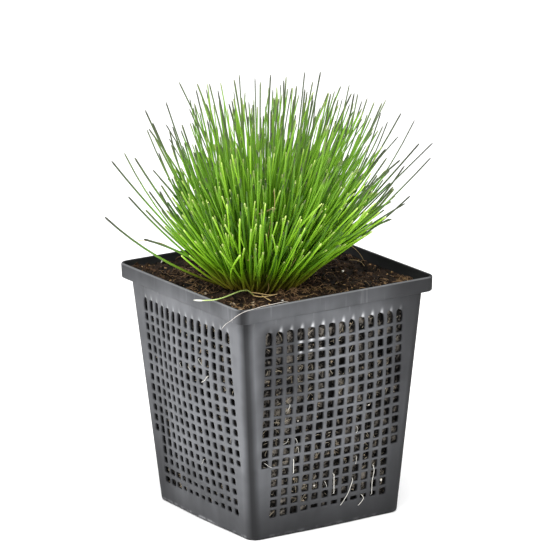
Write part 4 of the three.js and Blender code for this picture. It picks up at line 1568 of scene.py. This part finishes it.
class OBJECT_OT_grass_stage(bpy.types.Operator):
    """Sets up the camera, the soft lights and the pale floor."""

    bl_idname = "potted_grass.stage"
    bl_label = "Stage"

    def execute(self, context):
        stage = context.scene.grass_stage
        back = compass(stage.azimuth, stage.elevation)
        right = (-back).cross(Vector((0, 0, 1))).normalized()
        up = right.cross(-back)
        turned_right = right * np.cos(stage.roll) + up * np.sin(stage.roll)
        turned_up = up * np.cos(stage.roll) - right * np.sin(stage.roll)
        camera = bpy.data.cameras.new("camera")
        camera.lens, camera.sensor_width = stage.lens, 36
        camera.clip_start, camera.clip_end = 0.05, 20
        view = bpy.data.objects.new("camera", camera)
        context.scene.collection.objects.link(view)
        pose = Matrix((turned_right, turned_up, back)).transposed().to_4x4()
        pose.translation = Vector(stage.aim) + back * stage.distance
        view.matrix_world = pose
        context.scene.camera = view

        context.scene.view_settings.view_transform = "Standard"
        world = bpy.data.worlds.new("studio")
        world.use_nodes = True
        sky = world.node_tree.nodes["Background"].inputs
        sky["Color"].default_value, sky["Strength"].default_value = (1, 1, 1, 1), 0.3
        context.scene.world = world

        middle, distance = Vector((0, 0, 0.08)), 1.1
        for name, turn, rise, size, power in (
            ("left softbox", -103, 26, 1.2, 12.9),
            ("right softbox", 25, 26, 1.2, 8.4),
            ("top softbox", -32, 66, 0.9, 15),
            ("front fill", -33, 8, 0.7, 1.5),
        ):
            place = middle + compass(np.radians(turn), np.radians(rise)) * distance
            add_area_light(name, place, middle, size, power)
        behind = Vector(view_axes(stage)[1] * 1.35)
        add_area_light("background", behind + Vector((0, 0, 1)), behind * 0.9, 1.6, 14)

        mesh = bpy.data.meshes.new("floor")
        reach = 3
        corners = [(-reach, -reach, 0), (reach, -reach, 0), (reach, reach, 0), (-reach, reach, 0)]
        mesh.from_pydata(corners, [], [[0, 1, 2, 3]])
        floor = bpy.data.objects.new("floor", mesh)
        context.scene.collection.objects.link(floor)
        grey = [(value, value, value) for value in (0.9, 0.88, 0.92)]
        mesh.materials.append(clouded_material("pale floor", grey[0], 0.8, *grey[1:], (3,), 0, 1))
        return {"FINISHED"}


# Add-on


class VIEW3D_PT_potted_grass(bpy.types.Panel):
    """Lists the pieces of the potted grass."""

    bl_label = "Potted Grass"
    bl_idname = "VIEW3D_PT_potted_grass"
    bl_space_type = "VIEW_3D"
    bl_region_type = "UI"
    bl_category = "Potted Grass"

    def draw(self, context):
        for operator in OPERATORS:
            self.layout.operator(operator.bl_idname)


OPERATORS = (
    OBJECT_OT_grass_stage,
    OBJECT_OT_mesh_pot,
    OBJECT_OT_potting_soil,
    OBJECT_OT_soil_litter,
    OBJECT_OT_grass_leaves,
    OBJECT_OT_flower_heads,
    OBJECT_OT_stray_strands,
)
SETTINGS = {
    "grass_pot": PotSettings,
    "grass_soil": SoilSettings,
    "grass_leaves": GrassSettings,
    "grass_stage": StageSettings,
}


def register():
    """Registers the settings, the operators and the panel."""
    for name, settings in SETTINGS.items():
        bpy.utils.register_class(settings)
        setattr(bpy.types.Scene, name, PointerProperty(type=settings))
    for operator in OPERATORS:
        bpy.utils.register_class(operator)
    bpy.utils.register_class(VIEW3D_PT_potted_grass)


def unregister():
    """Removes what register added."""
    bpy.utils.unregister_class(VIEW3D_PT_potted_grass)
    for operator in reversed(OPERATORS):
        bpy.utils.unregister_class(operator)
    for name, settings in SETTINGS.items():
        delattr(bpy.types.Scene, name)
        bpy.utils.unregister_class(settings)


def main():
    """Builds every piece in order."""
    register()
    for operator in OPERATORS:
        group, name = operator.bl_idname.split(".")
        getattr(getattr(bpy.ops, group), name)()


if __name__ == "__main__":
    main()
